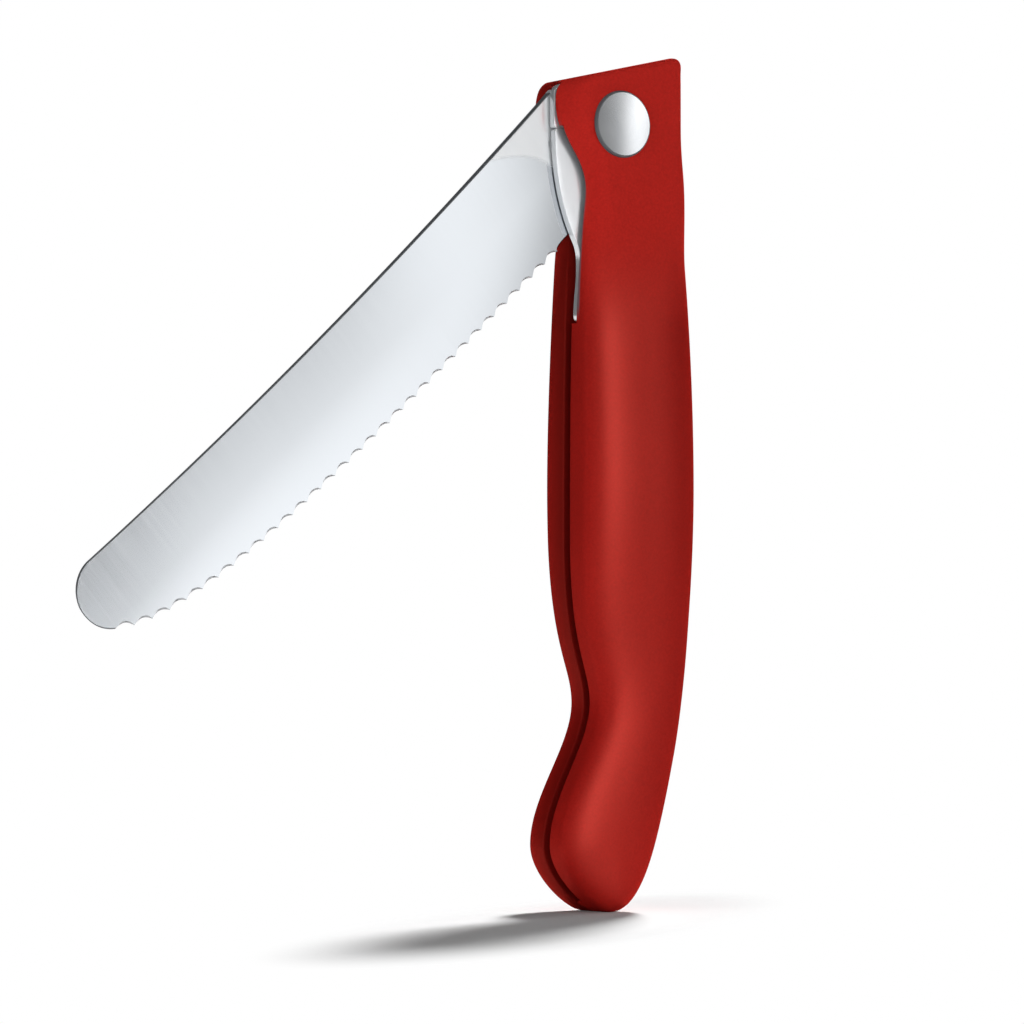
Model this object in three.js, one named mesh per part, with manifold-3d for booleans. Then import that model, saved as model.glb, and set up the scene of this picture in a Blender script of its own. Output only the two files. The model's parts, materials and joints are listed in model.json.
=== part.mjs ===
// A folding paring knife with a wavy-edged, round-nosed blade, a moulded handle and a liner lock.
// Millimetres. X runs across the handle (slot side negative, spine side positive), Y through its
// thickness (front scale negative) and Z along it. The origin is the middle of the grip.
// Every piece is drawn from the pivot axis: drops are measured down from it, sides across from it.
import * as THREE from 'three';
import { mergeVertices } from 'three/addons/utils/BufferGeometryUtils.js';
import Module from 'manifold-3d';

const wasm = await Module();
wasm.setup();

// Pivot axis, from the middle of the grip
const pivotAcross = -4.6;
const pivotHeight = 56;

// Blade outline, from the pivot axis
const bladeReach = 119.9;
const bladeThickness = 1.2;
const edgeThickness = 0.3;
const tangSpineSide = 10.3;
const noseSpineSide = 9.95;
const spinePullSide = 7.2;
const spinePullBack = 58;
const edgeSide = 9.05;
const ricassoSide = 8.4;
const heelReach = 17;
const firstToothReach = 19.7;
const bellyReach = 45;
const bellyPullSide = 8.7;
const bellyPullBack = 25;
const tipPullSide = 5.8;
const tipPullBack = 9.6;
const noseRadius = 5.6;
const noseEndAngle = 57;
const toothPitch = 3.2;
const toothDepth = 0.6;
const grindReach = 9.4;
const grindLean = 0.95;
const restAngle = 47.7;
const closedLean = 0.5;

// Handle outline: stations down the slot side and up the spine side, the lower ones from the butt,
// and the pulls that shape the curves between them
const headSlotSide = 10.05;
const headSpineSide = 12;
const headRise = 8.25;
const headSlant = 18.2;
const slotCorner = 2.9;
const spineCorner = 2.4;
const scoopSlotSide = 5;
const scoopDrop = 11.2;
const gripSlotSide = 6.2;
const gripSlotAboveNotch = 26;
const notchSlotSide = 2.75;
const notchAboveBeak = 22;
const beakSlotSide = 10.35;
const beakAboveButt = 10.4;
const beakPull = 4.9;
const buttAcross = -0.6;
const buttCover = 2.5;
const buttSlotPull = 2.6;
const buttSpinePull = 6;
const tailSpineSide = 11.6;
const tailAboveButt = 23.4;
const tailLean = 13.6;
const tailPull = 12;
const gripSpineSide = 15.3;
const gripSpineAboveTail = 43;
const gripSpinePull = 14;

// Handle thickness over both scales, and the height of the square wall along the slot and the spine
const headThickness = 11.8;
const gripThickness = 15;
const notchThickness = 11.8;
const beakThickness = 12.4;
const headWall = 3.6;
const cornerWall = 2.6;
const gripWall = 4;
const notchWall = 2.8;
const beakWall = 3.3;
const spineWall = 2.4;
const headRound = 3;
const cornerRound = 5;
const gripRound = 10;
const headPower = 5;
const cornerPower = 2.5;
const gripPower = 2.5;
const roundedDrop = 22;
const roundMargin = 1;
const cornerStart = 3.5;
const cornerEnd = 8;
const headFlat = 7;

// Slot, liner and lock leaf
const slotGap = 0.2;
const slotEdgeGap = 0.5;
const linerThickness = 1.2;
const linerTopInset = 0.6;
const linerTopCorner = 2.4;
const linerProud = 0.1;
const linerSpineSide = 9.6;
const linerDrop = 31;
const linerCorner = 1.5;
const leafTipSide = 10;
const thumbPull = 9.2;
const thumbEndPull = 4.3;
const thumbEndFlare = 1;
const thumbEndDrop = 21.3;
const leafFootSide = 5.6;
const leafEndSide = 5.85;
const leafEndDrop = 30.9;
const leafEndCorner = 1.2;
const leafTailSide = 3.4;
const leafRootDrop = 28;
const leafInnerSide = 0.8;
const leafGap = 0.4;
const lockGap = 0.3;
const leafTravel = 1.2;
const recessGap = 0.25;

// Pivot, stop and fasteners
const rivetHeadRadius = 5.25;
const rivetHeadHeight = 0.9;
const rivetFaceRadius = 4.5;
const barrelRadius = 2.4;
const barrelBore = 1.5;
const barrelReach = 4.6;
const postRadius = 1.4;
const postReach = 3.6;
const bushWall = 0.5;
const runningGap = 0.06;
const boreGap = 0.1;
const washerRadius = 5.3;
const washerGap = 0.025;
const stopPinReach = 7.2;
const stopPinHeight = 2;
const stopPinRadius = 1.25;
const stopPinHalf = 4.5;
const tangGap = 0.35;
const stopGap = 0.15;
const detentRadius = 0.6;
const detentAcross = -4.2;
const detentDrop = 9.5;
const detentGap = 0.02;
const linerRivetRadius = 0.9;
const linerRivetHead = 1.6;
const linerRivetDepth = 3.8;
const linerRivetSink = 0.05;
const linerRivetAcross = 5.5;
const linerRivetDrops = { upper: 12, lower: 24.5 };
const dowelRadius = 1.1;
const dowelHalf = 3.6;
const dowelWall = 0.75;
const dowelDrops = { upper: 34, middle: 66 };
const buttDowelAngle = -22;

// Sizes that follow from the driving ones
const slotHalf = bladeThickness / 2 + slotGap;
const slotSide = tangSpineSide + slotEdgeGap;
const tangRadius = stopPinReach - stopPinRadius - tangGap;
const stopPinAcross = Math.sqrt(stopPinReach ** 2 - stopPinHeight ** 2);
const spineShoulder = stopPinHeight + stopPinRadius + stopGap;
const edgeShoulder = stopPinRadius + stopGap - stopPinHeight;
const bushInner = barrelRadius + boreGap;
const bushOuter = bushInner + bushWall;
const leafTip = edgeShoulder - lockGap;
const leafRing = tangRadius + lockGap;
const linerOuter = slotHalf + linerThickness;
const headSeat = headThickness / 2;
const flatDrop = rivetHeadRadius + headFlat;
const roundDrop = rivetHeadRadius + roundMargin;
const buttDrop = bladeReach + buttCover;
const beakDrop = buttDrop - beakAboveButt;
const notchDrop = beakDrop - notchAboveBeak;
const gripSlotDrop = notchDrop - gripSlotAboveNotch;
const tailDrop = buttDrop - tailAboveButt;
const gripSpineDrop = tailDrop - gripSpineAboveTail;
const noseReach = bladeReach - noseRadius;
const noseSide = noseSpineSide - noseRadius;
const noseEnd = THREE.MathUtils.degToRad(-noseEndAngle);
const lastToothReach = noseReach + noseRadius * Math.cos(noseEnd);
const lastToothSide = noseSide + noseRadius * Math.sin(noseEnd);
const outsideReach = 2 * bladeReach;
const curveSteps = 12;
const roundSteps = 32;

const red = { color: 0xa5261e, roughness: 0.55, metalness: 0 };
const steel = { color: 0xc9ced4, roughness: 0.3, metalness: 1 };
const bronze = { color: 0xb08a4e, roughness: 0.4, metalness: 1 };

// Booleans on closed geometries
function solidOf(geometry) {
  const bare = new THREE.BufferGeometry();
  bare.setAttribute('position', geometry.getAttribute('position').clone());
  if (geometry.index) bare.setIndex(geometry.index.clone());
  const merged = mergeVertices(bare, 1e-4);
  const vertProperties = new Float32Array(merged.getAttribute('position').array);
  const triVerts = new Uint32Array(merged.index.array);
  return new wasm.Manifold(new wasm.Mesh({ numProp: 3, vertProperties, triVerts }));
}

function geometryOf(solid) {
  const mesh = solid.getMesh();
  const geometry = new THREE.BufferGeometry();
  geometry.setAttribute('position', new THREE.BufferAttribute(mesh.vertProperties, 3));
  geometry.setIndex(new THREE.BufferAttribute(mesh.triVerts, 1));
  return geometry;
}

function cut(geometry, cutters) {
  let solid = solidOf(geometry);
  for (const cutter of cutters) solid = solid.subtract(solidOf(cutter));
  return geometryOf(solid);
}

// A flat piece: a shape drawn in X and Z, between two depths in Y
function slab(shape, front, back) {
  const options = { depth: back - front, bevelEnabled: false, curveSegments: curveSteps };
  const geometry = new THREE.ExtrudeGeometry(shape, options);
  geometry.rotateX(Math.PI / 2);
  geometry.translate(0, back, 0);
  return geometry;
}

function rod(radius, front, back, across = 0, height = 0) {
  const geometry = new THREE.CylinderGeometry(radius, radius, back - front, roundSteps);
  geometry.translate(across, (front + back) / 2, height);
  return geometry;
}

function turned(profile, across = 0, height = 0) {
  const points = profile.map(([radius, depth]) => new THREE.Vector2(radius, depth));
  const geometry = new THREE.LatheGeometry(points, roundSteps);
  geometry.translate(across, 0, height);
  return geometry;
}

function roundHole(shape, across, height, radius) {
  const hole = new THREE.Path();
  hole.absarc(across, height, radius, 0, 2 * Math.PI);
  shape.holes.push(hole);
}

function addPiece(group, name, geometry, finish) {
  const mesh = new THREE.Mesh(geometry, new THREE.MeshStandardMaterial(finish));
  mesh.name = name;
  group.add(mesh);
}

// A side of the handle from the pen to a station, upright at both ends
function sway(path, across, height, startPull, endPull) {
  const { x, y } = path.currentPoint;
  const run = height - y;
  path.bezierCurveTo(x, y + startPull * run, across, height - endPull * run, across, height);
}

function topHeight(across) {
  return headRise + across * Math.tan(THREE.MathUtils.degToRad(headSlant));
}

// The outline shared by both scales and the spacer, down the slot side and up the spine
function handlePath(path) {
  const slant = THREE.MathUtils.degToRad(headSlant);
  const slotTop = topHeight(-headSlotSide);
  const spineTop = topHeight(headSpineSide);
  const lean = THREE.MathUtils.degToRad(tailLean);
  path.moveTo(-headSlotSide + slotCorner * Math.cos(slant), slotTop + slotCorner * Math.sin(slant));
  path.quadraticCurveTo(-headSlotSide, slotTop, -headSlotSide, slotTop - slotCorner);
  sway(path, -scoopSlotSide, -scoopDrop, 0.45, 0.45);
  sway(path, -gripSlotSide, -gripSlotDrop, 0.12, 0.88);
  sway(path, -notchSlotSide, -notchDrop, 0.7, 0.22);
  sway(path, -beakSlotSide, -beakDrop, 0.3, 0.35);
  path.bezierCurveTo(
    -beakSlotSide, -beakDrop - beakPull,
    buttAcross - buttSlotPull, -buttDrop,
    buttAcross, -buttDrop,
  );
  path.bezierCurveTo(
    buttAcross + buttSpinePull, -buttDrop,
    tailSpineSide - tailPull * Math.sin(lean), -tailDrop - tailPull * Math.cos(lean),
    tailSpineSide, -tailDrop,
  );
  path.bezierCurveTo(
    tailSpineSide + tailPull * Math.sin(lean), -tailDrop + tailPull * Math.cos(lean),
    gripSpineSide, -gripSpineDrop - gripSpinePull,
    gripSpineSide, -gripSpineDrop,
  );
  sway(path, headSpineSide, 0, 0.7, 0.18);
  path.lineTo(headSpineSide, spineTop - spineCorner);
  path.quadraticCurveTo(
    headSpineSide, spineTop,
    headSpineSide - spineCorner * Math.cos(slant), spineTop - spineCorner * Math.sin(slant),
  );
  path.closePath();
  return path;
}

const outline = handlePath(new THREE.Path()).getPoints(curveSteps).slice(0, -1);

function edgeDistance(across, height) {
  let least = Infinity;
  for (let i = 0; i < outline.length; i += 1) {
    const a = outline[i];
    const b = outline[(i + 1) % outline.length];
    const run = b.clone().sub(a);
    const share = ((across - a.x) * run.x + (height - a.y) * run.y) / run.lengthSq();
    const near = a.clone().addScaledVector(run, THREE.MathUtils.clamp(share, 0, 1));
    least = Math.min(least, Math.hypot(across - near.x, height - near.y));
  }
  return least;
}

// A size that changes smoothly from one station to the next, by its drop below the pivot
function along(drop, stations) {
  let value = stations[0][1];
  for (let i = 1; i < stations.length; i += 1) {
    const [from, before] = stations[i - 1];
    const [to, after] = stations[i];
    if (drop > from) value = before + (after - before) * THREE.MathUtils.smoothstep(drop, from, to);
  }
  return value;
}

// How far the outside of a scale stands from the middle plane, at a point of the outline's inside
function scaleHeight(across, height) {
  const drop = -height;
  const toCorner = THREE.MathUtils.smoothstep(-across, cornerStart, cornerEnd);
  const thickness = along(drop, [
    [flatDrop, headThickness],
    [gripSpineDrop, gripThickness],
    [notchDrop, notchThickness],
    [beakDrop, beakThickness],
  ]);
  const slotWall = along(drop, [
    [scoopDrop, headWall + (cornerWall - headWall) * toCorner],
    [gripSpineDrop, gripWall],
    [notchDrop, notchWall],
    [beakDrop, beakWall],
  ]);
  const round = along(drop, [
    [roundDrop, headRound + (cornerRound - headRound) * toCorner],
    [roundedDrop, gripRound],
  ]);
  const power = along(drop, [
    [roundDrop, headPower + (cornerPower - headPower) * toCorner],
    [roundedDrop, gripPower],
  ]);
  const toSpine = THREE.MathUtils.smoothstep(across, -gripSlotSide / 2, gripSpineSide);
  const spineShare = toSpine * along(drop, [[roundDrop, 0], [roundedDrop, 1]]);
  const wall = slotWall + (spineWall - slotWall) * spineShare;
  const inside = Math.max(0, 1 - edgeDistance(across, height) / round);
  return wall + (thickness / 2 - wall) * (1 - inside ** power) ** (1 / power);
}

// One scale: rings step in from the outline to the middle line, and its inner face is flat
function scaleBody(front) {
  const shares = [0, 0.015, 0.04, 0.09, 0.17, 0.3, 0.5, 0.75, 0.96];
  const positions = [];
  const triangles = [];
  const side = front ? -1 : 1;
  const count = outline.length;
  const rings = shares.map((share) => outline.map((point) => {
    const height = THREE.MathUtils.clamp(point.y, -beakDrop, 0);
    const across = along(-height, [
      [0, (headSpineSide - headSlotSide) / 2],
      [gripSpineDrop, (gripSpineSide - gripSlotSide) / 2],
      [notchDrop, (gripSpineSide - notchSlotSide) / 2],
      [beakDrop, (tailSpineSide - beakSlotSide) / 2],
    ]);
    return point.clone().lerp(new THREE.Vector2(across, height), share);
  }));
  const addRing = (ring, depthAt) => {
    for (const point of ring) positions.push(point.x, side * depthAt(point), point.y);
  };
  const addTriangle = (a, b, c) => triangles.push(...(front ? [a, b, c] : [a, c, b]));
  addRing(outline, () => slotHalf);
  for (const ring of rings) addRing(ring, (point) => scaleHeight(point.x, point.y));
  for (let level = 0; level < rings.length; level += 1) {
    for (let i = 0; i < count; i += 1) {
      const next = (i + 1) % count;
      const outer = level * count;
      const inner = outer + count;
      addTriangle(outer + i, outer + next, inner + next);
      addTriangle(outer + i, inner + next, inner + i);
    }
  }
  for (const [a, b, c] of THREE.ShapeUtils.triangulateShape(rings.at(-1), [])) {
    const start = rings.length * count;
    addTriangle(start + a, start + b, start + c);
  }
  for (const [a, b, c] of THREE.ShapeUtils.triangulateShape(outline, [])) addTriangle(a, c, b);
  const geometry = new THREE.BufferGeometry();
  geometry.setAttribute('position', new THREE.Float32BufferAttribute(positions, 3));
  geometry.setIndex(triangles);
  return geometry;
}

// The blade in its open position, nose up: sides across, reaches up
function edgePath() {
  const path = new THREE.Path();
  path.moveTo(lastToothSide, lastToothReach);
  path.bezierCurveTo(
    -tipPullSide, bladeReach - tipPullBack,
    -bellyPullSide, bladeReach - bellyPullBack,
    -edgeSide, bellyReach,
  );
  path.lineTo(-edgeSide, firstToothReach);
  return path;
}

function bladeShape() {
  const shape = new THREE.Shape();
  const edgeAngle = Math.asin(edgeShoulder / tangRadius);
  const spineAngle = Math.asin(spineShoulder / tangRadius);
  const scallopSteps = 5;
  shape.moveTo(tangSpineSide, spineShoulder);
  shape.quadraticCurveTo(spinePullSide, bladeReach - spinePullBack, noseSpineSide, noseReach);
  shape.absarc(noseSide, noseReach, noseRadius, 0, Math.PI / 2 - noseEnd, false);
  const edge = edgePath();
  const tips = edge.getSpacedPoints(Math.round(edge.getLength() / toothPitch));
  for (let i = 1; i < tips.length; i += 1) {
    const from = tips[i - 1];
    const chord = tips[i].clone().sub(from);
    const inward = new THREE.Vector2(-chord.y, chord.x).normalize();
    for (let step = 1; step <= scallopSteps; step += 1) {
      const share = step / scallopSteps;
      const dip = toothDepth * 4 * share * (1 - share);
      const point = from.clone().addScaledVector(chord, share).addScaledVector(inward, dip);
      shape.lineTo(point.x, point.y);
    }
  }
  shape.quadraticCurveTo(-ricassoSide, firstToothReach, -ricassoSide, heelReach);
  shape.lineTo(-ricassoSide, edgeShoulder);
  shape.absarc(0, 0, tangRadius, Math.PI - edgeAngle, spineAngle + 2 * Math.PI, false);
  shape.closePath();
  roundHole(shape, 0, 0, bushOuter + runningGap);
  const closed = new THREE.Vector2(detentAcross, -detentDrop);
  closed.rotateAround(new THREE.Vector2(), Math.PI - THREE.MathUtils.degToRad(closedLean));
  roundHole(shape, closed.x, closed.y, detentRadius + boreGap);
  return shape;
}

// The flat grind: each cutter leaves the blade full at the spine and thin at the edge, and starts
// on a line that leans from the heel towards the spine
function grindCutter(side) {
  const drop = (bladeThickness - edgeThickness) / 2;
  const perSide = drop / (edgeSide + tangSpineSide);
  const past = edgeSide;
  const shape = new THREE.Shape();
  shape.moveTo(tangSpineSide, side * bladeThickness / 2);
  shape.lineTo(-edgeSide - past, side * (bladeThickness / 2 - drop - perSide * past));
  shape.lineTo(-edgeSide - past, side * bladeThickness);
  shape.lineTo(tangSpineSide, side * bladeThickness);
  shape.closePath();
  const geometry = new THREE.ExtrudeGeometry(shape, { depth: bladeReach, bevelEnabled: false });
  const lean = new THREE.Matrix4();
  lean.elements[2] = grindLean;
  geometry.applyMatrix4(lean);
  geometry.translate(0, 0, grindReach);
  return geometry;
}

// The room that the closed blade, and its way out of the head, needs between the scales
function slotShape() {
  const turn = -THREE.MathUtils.degToRad(180 + closedLean);
  const place = (across, reach) => [
    across * Math.cos(turn) + reach * Math.sin(turn),
    -across * Math.sin(turn) + reach * Math.cos(turn),
  ];
  const shape = new THREE.Shape();
  shape.moveTo(-outsideReach, outsideReach);
  shape.lineTo(-outsideReach, -outsideReach);
  const nose = noseRadius + slotEdgeGap;
  for (let step = 0; step <= curveSteps; step += 1) {
    const angle = Math.PI / 2 - noseEnd * (step / curveSteps);
    shape.lineTo(...place(noseSide + nose * Math.cos(angle), noseReach + nose * Math.sin(angle)));
  }
  for (const point of edgePath().getPoints(curveSteps)) {
    const [across, height] = place(point.x, point.y);
    shape.lineTo(across + 2 * slotEdgeGap, height);
  }
  shape.lineTo(slotSide, -firstToothReach);
  shape.lineTo(slotSide, outsideReach);
  shape.closePath();
  return shape;
}

// Liner plate, lock leaf and the rooms they need in the front scale
function linerTop(across) {
  return topHeight(across) - linerTopInset;
}

// The leaf's inner side, from its root up to the tang and round that to its tip, or the same line
// drawn a gap outside the leaf
function leafInside(path, gap) {
  const ring = leafRing - gap;
  const inner = leafInnerSide - gap;
  const tip = leafTip + gap;
  path.lineTo(-inner, -leafRootDrop - gap);
  path.absarc(0, 0, ring, -Math.PI / 2 - Math.asin(inner / ring), -Math.PI - Math.asin(tip / ring), true);
}

function linerShape() {
  const slotEdge = -headSlotSide - linerProud;
  const spineEdge = linerSpineSide;
  const tailEdge = -leafTailSide + leafGap;
  const shape = new THREE.Shape();
  shape.moveTo(tailEdge, -leafRootDrop - leafGap);
  leafInside(shape, leafGap);
  shape.lineTo(slotEdge, leafTip + leafGap);
  shape.lineTo(slotEdge, linerTop(slotEdge) - linerTopCorner);
  shape.quadraticCurveTo(
    slotEdge, linerTop(slotEdge),
    slotEdge + linerTopCorner, linerTop(slotEdge + linerTopCorner),
  );
  shape.lineTo(spineEdge, linerTop(spineEdge));
  shape.lineTo(spineEdge, -linerDrop + linerCorner);
  shape.quadraticCurveTo(spineEdge, -linerDrop, spineEdge - linerCorner, -linerDrop);
  shape.lineTo(tailEdge, -linerDrop);
  shape.closePath();
  roundHole(shape, 0, 0, barrelRadius + boreGap);
  roundHole(shape, stopPinAcross, stopPinHeight, stopPinRadius + boreGap);
  return shape;
}

function leafShape() {
  const shape = new THREE.Shape();
  shape.moveTo(-leafTailSide, -leafRootDrop);
  leafInside(shape, 0);
  shape.lineTo(-leafTipSide, leafTip);
  shape.bezierCurveTo(
    -leafTipSide, leafTip - thumbPull,
    -leafFootSide - thumbEndFlare, -thumbEndDrop + thumbEndPull,
    -leafFootSide, -thumbEndDrop,
  );
  sway(shape, -leafEndSide, -leafEndDrop + leafEndCorner, 0.4, 0.4);
  shape.quadraticCurveTo(-leafEndSide, -leafEndDrop, -leafEndSide + leafEndCorner, -leafEndDrop);
  shape.lineTo(-leafTailSide, -leafEndDrop);
  shape.closePath();
  roundHole(shape, detentAcross, -detentDrop, detentRadius + boreGap / 2);
  return shape;
}

function linerRecess() {
  const spineEdge = linerSpineSide + recessGap;
  const slotEdge = -headSlotSide;
  const shape = new THREE.Shape();
  shape.moveTo(-outsideReach, -linerDrop - recessGap);
  shape.lineTo(spineEdge, -linerDrop - recessGap);
  shape.lineTo(spineEdge, linerTop(spineEdge) + recessGap);
  shape.lineTo(slotEdge, linerTop(slotEdge) + recessGap);
  shape.lineTo(-outsideReach, linerTop(slotEdge) + recessGap);
  shape.closePath();
  return slab(shape, -linerOuter - recessGap, 0);
}

function leafPocket() {
  const shape = new THREE.Shape();
  shape.moveTo(-outsideReach, -leafRootDrop - leafGap);
  leafInside(shape, leafGap);
  shape.lineTo(-outsideReach, leafTip + leafGap);
  shape.closePath();
  return slab(shape, -linerOuter - leafTravel, 0);
}

// Liner rivets: a sunk head flush with the liner and a shank into the front scale
function linerRivetProfile(gap) {
  const face = -slotHalf - linerRivetSink + gap;
  const neck = face - linerRivetHead + linerRivetRadius;
  const end = -slotHalf - linerRivetDepth - gap;
  return [
    [0, end],
    [linerRivetRadius + gap, end],
    [linerRivetRadius + gap, neck],
    [linerRivetHead + gap, face],
    [0, face],
  ];
}

// Dowels across both scales and the spacer, in the solid wall beyond the slot
function dowelPlaces() {
  const wallAcross = slotSide + dowelWall + dowelRadius;
  const places = {};
  for (const [name, drop] of Object.entries(dowelDrops)) places[name] = [wallAcross, -drop];
  const reach = noseRadius + slotEdgeGap + dowelWall + dowelRadius;
  const angle = THREE.MathUtils.degToRad(buttDowelAngle);
  const lean = THREE.MathUtils.degToRad(closedLean);
  const noseAcross = -noseSide + noseReach * Math.sin(lean);
  places.butt = [noseAcross + reach * Math.cos(angle), -noseReach + reach * Math.sin(angle)];
  return places;
}

// The pivot rivet's head, with a rolled rim, and what stands on its inner side
function rivetProfile(stem) {
  const rim = [];
  const rimSteps = 6;
  for (let step = 0; step <= rimSteps; step += 1) {
    const angle = (Math.PI / 2) * (step / rimSteps);
    rim.push([
      rivetFaceRadius + (rivetHeadRadius - rivetFaceRadius) * Math.cos(angle),
      headSeat + rivetHeadHeight * Math.sin(angle),
    ]);
  }
  return [...stem, ...rim, [0, headSeat + rivetHeadHeight]];
}

const knife = new THREE.Group();
knife.position.set(pivotAcross, 0, pivotHeight);

const slotCutter = slab(slotShape(), -slotHalf, slotHalf);
const pivotBore = rod(barrelRadius + boreGap, -headThickness, headThickness);
const stopBore = rod(
  stopPinRadius + boreGap, -stopPinHalf - boreGap, stopPinHalf + boreGap, stopPinAcross, stopPinHeight,
);
const dowelBores = Object.values(dowelPlaces()).map(([across, height]) => (
  rod(dowelRadius + boreGap, -dowelHalf - boreGap, dowelHalf + boreGap, across, height)
));
const rivetSeats = Object.values(linerRivetDrops).map((drop) => (
  turned(linerRivetProfile(boreGap), linerRivetAcross, -drop)
));

// Handle
const frontCuts = [pivotBore, stopBore, linerRecess(), leafPocket(), ...dowelBores, ...rivetSeats];
addPiece(knife, 'front_scale', cut(scaleBody(true), frontCuts), red);
addPiece(knife, 'rear_scale', cut(scaleBody(false), [pivotBore, stopBore, ...dowelBores]), red);
const spacer = slab(handlePath(new THREE.Shape()), -slotHalf, slotHalf);
addPiece(knife, 'back_spacer', cut(spacer, [slab(slotShape(), -linerOuter, linerOuter), ...dowelBores]), red);

// Liner lock
addPiece(knife, 'liner_plate', cut(slab(linerShape(), -linerOuter, -slotHalf), rivetSeats), steel);
addPiece(knife, 'lock_leaf', slab(leafShape(), -linerOuter, -slotHalf), steel);
const detentBall = new THREE.SphereGeometry(detentRadius, 16, 10);
const detentDepth = bladeThickness / 2 + detentGap + detentRadius;
detentBall.translate(detentAcross, -detentDepth, -detentDrop);
addPiece(knife, 'detent_ball', detentBall, steel);
for (const [name, drop] of Object.entries(linerRivetDrops)) {
  addPiece(knife, `liner_rivet_${name}`, turned(linerRivetProfile(0), linerRivetAcross, -drop), steel);
}

// Pivot and stop
const frontStem = [
  [0, postReach + boreGap],
  [barrelBore, postReach + boreGap],
  [barrelBore, -barrelReach],
  [barrelRadius, -barrelReach],
  [barrelRadius, headSeat],
];
const frontRivet = turned(rivetProfile(frontStem));
frontRivet.rotateX(Math.PI);
addPiece(knife, 'pivot_rivet_front', frontRivet, steel);
const rearStem = [[0, -postReach], [postRadius, -postReach], [postRadius, headSeat]];
addPiece(knife, 'pivot_rivet_rear', turned(rivetProfile(rearStem)), steel);
const ringProfile = (inner, outer, from, to) => [
  [inner, from], [outer, from], [outer, to], [inner, to], [inner, from],
];
const half = bladeThickness / 2;
addPiece(knife, 'pivot_bush', turned(ringProfile(bushInner, bushOuter, -half, half)), bronze);
const washer = ringProfile(bushInner, washerRadius, half + washerGap, slotHalf - washerGap);
addPiece(knife, 'rear_washer', turned(washer), bronze);
const frontWasher = turned(washer);
frontWasher.rotateX(Math.PI);
addPiece(knife, 'front_washer', frontWasher, bronze);
const stopPin = rod(stopPinRadius, -stopPinHalf, stopPinHalf, stopPinAcross, stopPinHeight);
addPiece(knife, 'stop_pin', stopPin, steel);
for (const [name, [across, height]] of Object.entries(dowelPlaces())) {
  addPiece(knife, `scale_dowel_${name}`, rod(dowelRadius, -dowelHalf, dowelHalf, across, height), steel);
}

// Blade, turned from its open position to half closed
const blade = new THREE.Group();
blade.rotation.y = THREE.MathUtils.degToRad(restAngle - 180);
knife.add(blade);
const blank = slab(bladeShape(), -half, half);
addPiece(blade, 'blade', cut(blank, [grindCutter(-1), grindCutter(1)]), steel);

export default knife;
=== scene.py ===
import json
import math

import bmesh
import bpy
import numpy as np
from mathutils import Matrix, Vector

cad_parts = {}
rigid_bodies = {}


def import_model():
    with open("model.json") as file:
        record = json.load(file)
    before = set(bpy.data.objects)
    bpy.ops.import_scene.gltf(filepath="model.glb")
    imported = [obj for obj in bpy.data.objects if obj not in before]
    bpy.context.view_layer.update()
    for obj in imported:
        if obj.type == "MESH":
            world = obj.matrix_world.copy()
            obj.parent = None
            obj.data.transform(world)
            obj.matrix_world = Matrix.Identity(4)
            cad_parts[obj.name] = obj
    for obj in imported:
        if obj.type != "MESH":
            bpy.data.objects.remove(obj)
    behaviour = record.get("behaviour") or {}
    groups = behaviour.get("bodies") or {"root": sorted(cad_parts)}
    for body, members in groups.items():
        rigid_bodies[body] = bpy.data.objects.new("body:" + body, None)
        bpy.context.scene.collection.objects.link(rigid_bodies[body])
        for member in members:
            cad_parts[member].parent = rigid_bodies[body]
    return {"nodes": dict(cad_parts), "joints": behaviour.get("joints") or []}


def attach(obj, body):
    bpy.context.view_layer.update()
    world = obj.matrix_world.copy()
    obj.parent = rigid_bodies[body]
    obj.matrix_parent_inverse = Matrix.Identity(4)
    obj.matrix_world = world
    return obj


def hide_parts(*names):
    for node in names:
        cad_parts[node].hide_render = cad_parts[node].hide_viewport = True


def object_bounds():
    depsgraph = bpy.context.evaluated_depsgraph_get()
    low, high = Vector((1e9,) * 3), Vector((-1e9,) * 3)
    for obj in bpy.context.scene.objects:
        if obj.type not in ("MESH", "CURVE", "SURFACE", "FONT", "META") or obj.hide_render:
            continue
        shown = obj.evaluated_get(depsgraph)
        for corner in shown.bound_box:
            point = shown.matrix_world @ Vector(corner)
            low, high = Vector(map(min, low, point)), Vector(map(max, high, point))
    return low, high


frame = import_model()
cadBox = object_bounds()
nodes = frame["nodes"]
joints = {joint["name"]: joint for joint in frame["joints"]}
pivot = Vector(joints["blade_pivot"]["pos_m"])
mm = 0.001
bladeTurn = math.radians(47.7 - 180)
print("frame loaded:", len(nodes), "nodes")


# shader sockets as plain values
class Wire:
    def __init__(self, tree, socket):
        self.tree = tree
        self.socket = socket

    def maths(self, operation, first, second=None):
        node = self.tree.nodes.new("ShaderNodeMath")
        node.operation = operation
        for socket, value in zip(node.inputs, (first, second)):
            if isinstance(value, Wire):
                self.tree.links.new(value.socket, socket)
            elif value is not None:
                socket.default_value = value
        return Wire(self.tree, node.outputs[0])

    def __add__(self, other):
        return self.maths("ADD", self, other)

    def __radd__(self, other):
        return self.maths("ADD", other, self)

    def __sub__(self, other):
        return self.maths("SUBTRACT", self, other)

    def __rsub__(self, other):
        return self.maths("SUBTRACT", other, self)

    def __mul__(self, other):
        return self.maths("MULTIPLY", self, other)

    def __rmul__(self, other):
        return self.maths("MULTIPLY", other, self)

    def __truediv__(self, other):
        return self.maths("DIVIDE", self, other)

    def __rtruediv__(self, other):
        return self.maths("DIVIDE", other, self)


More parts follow.
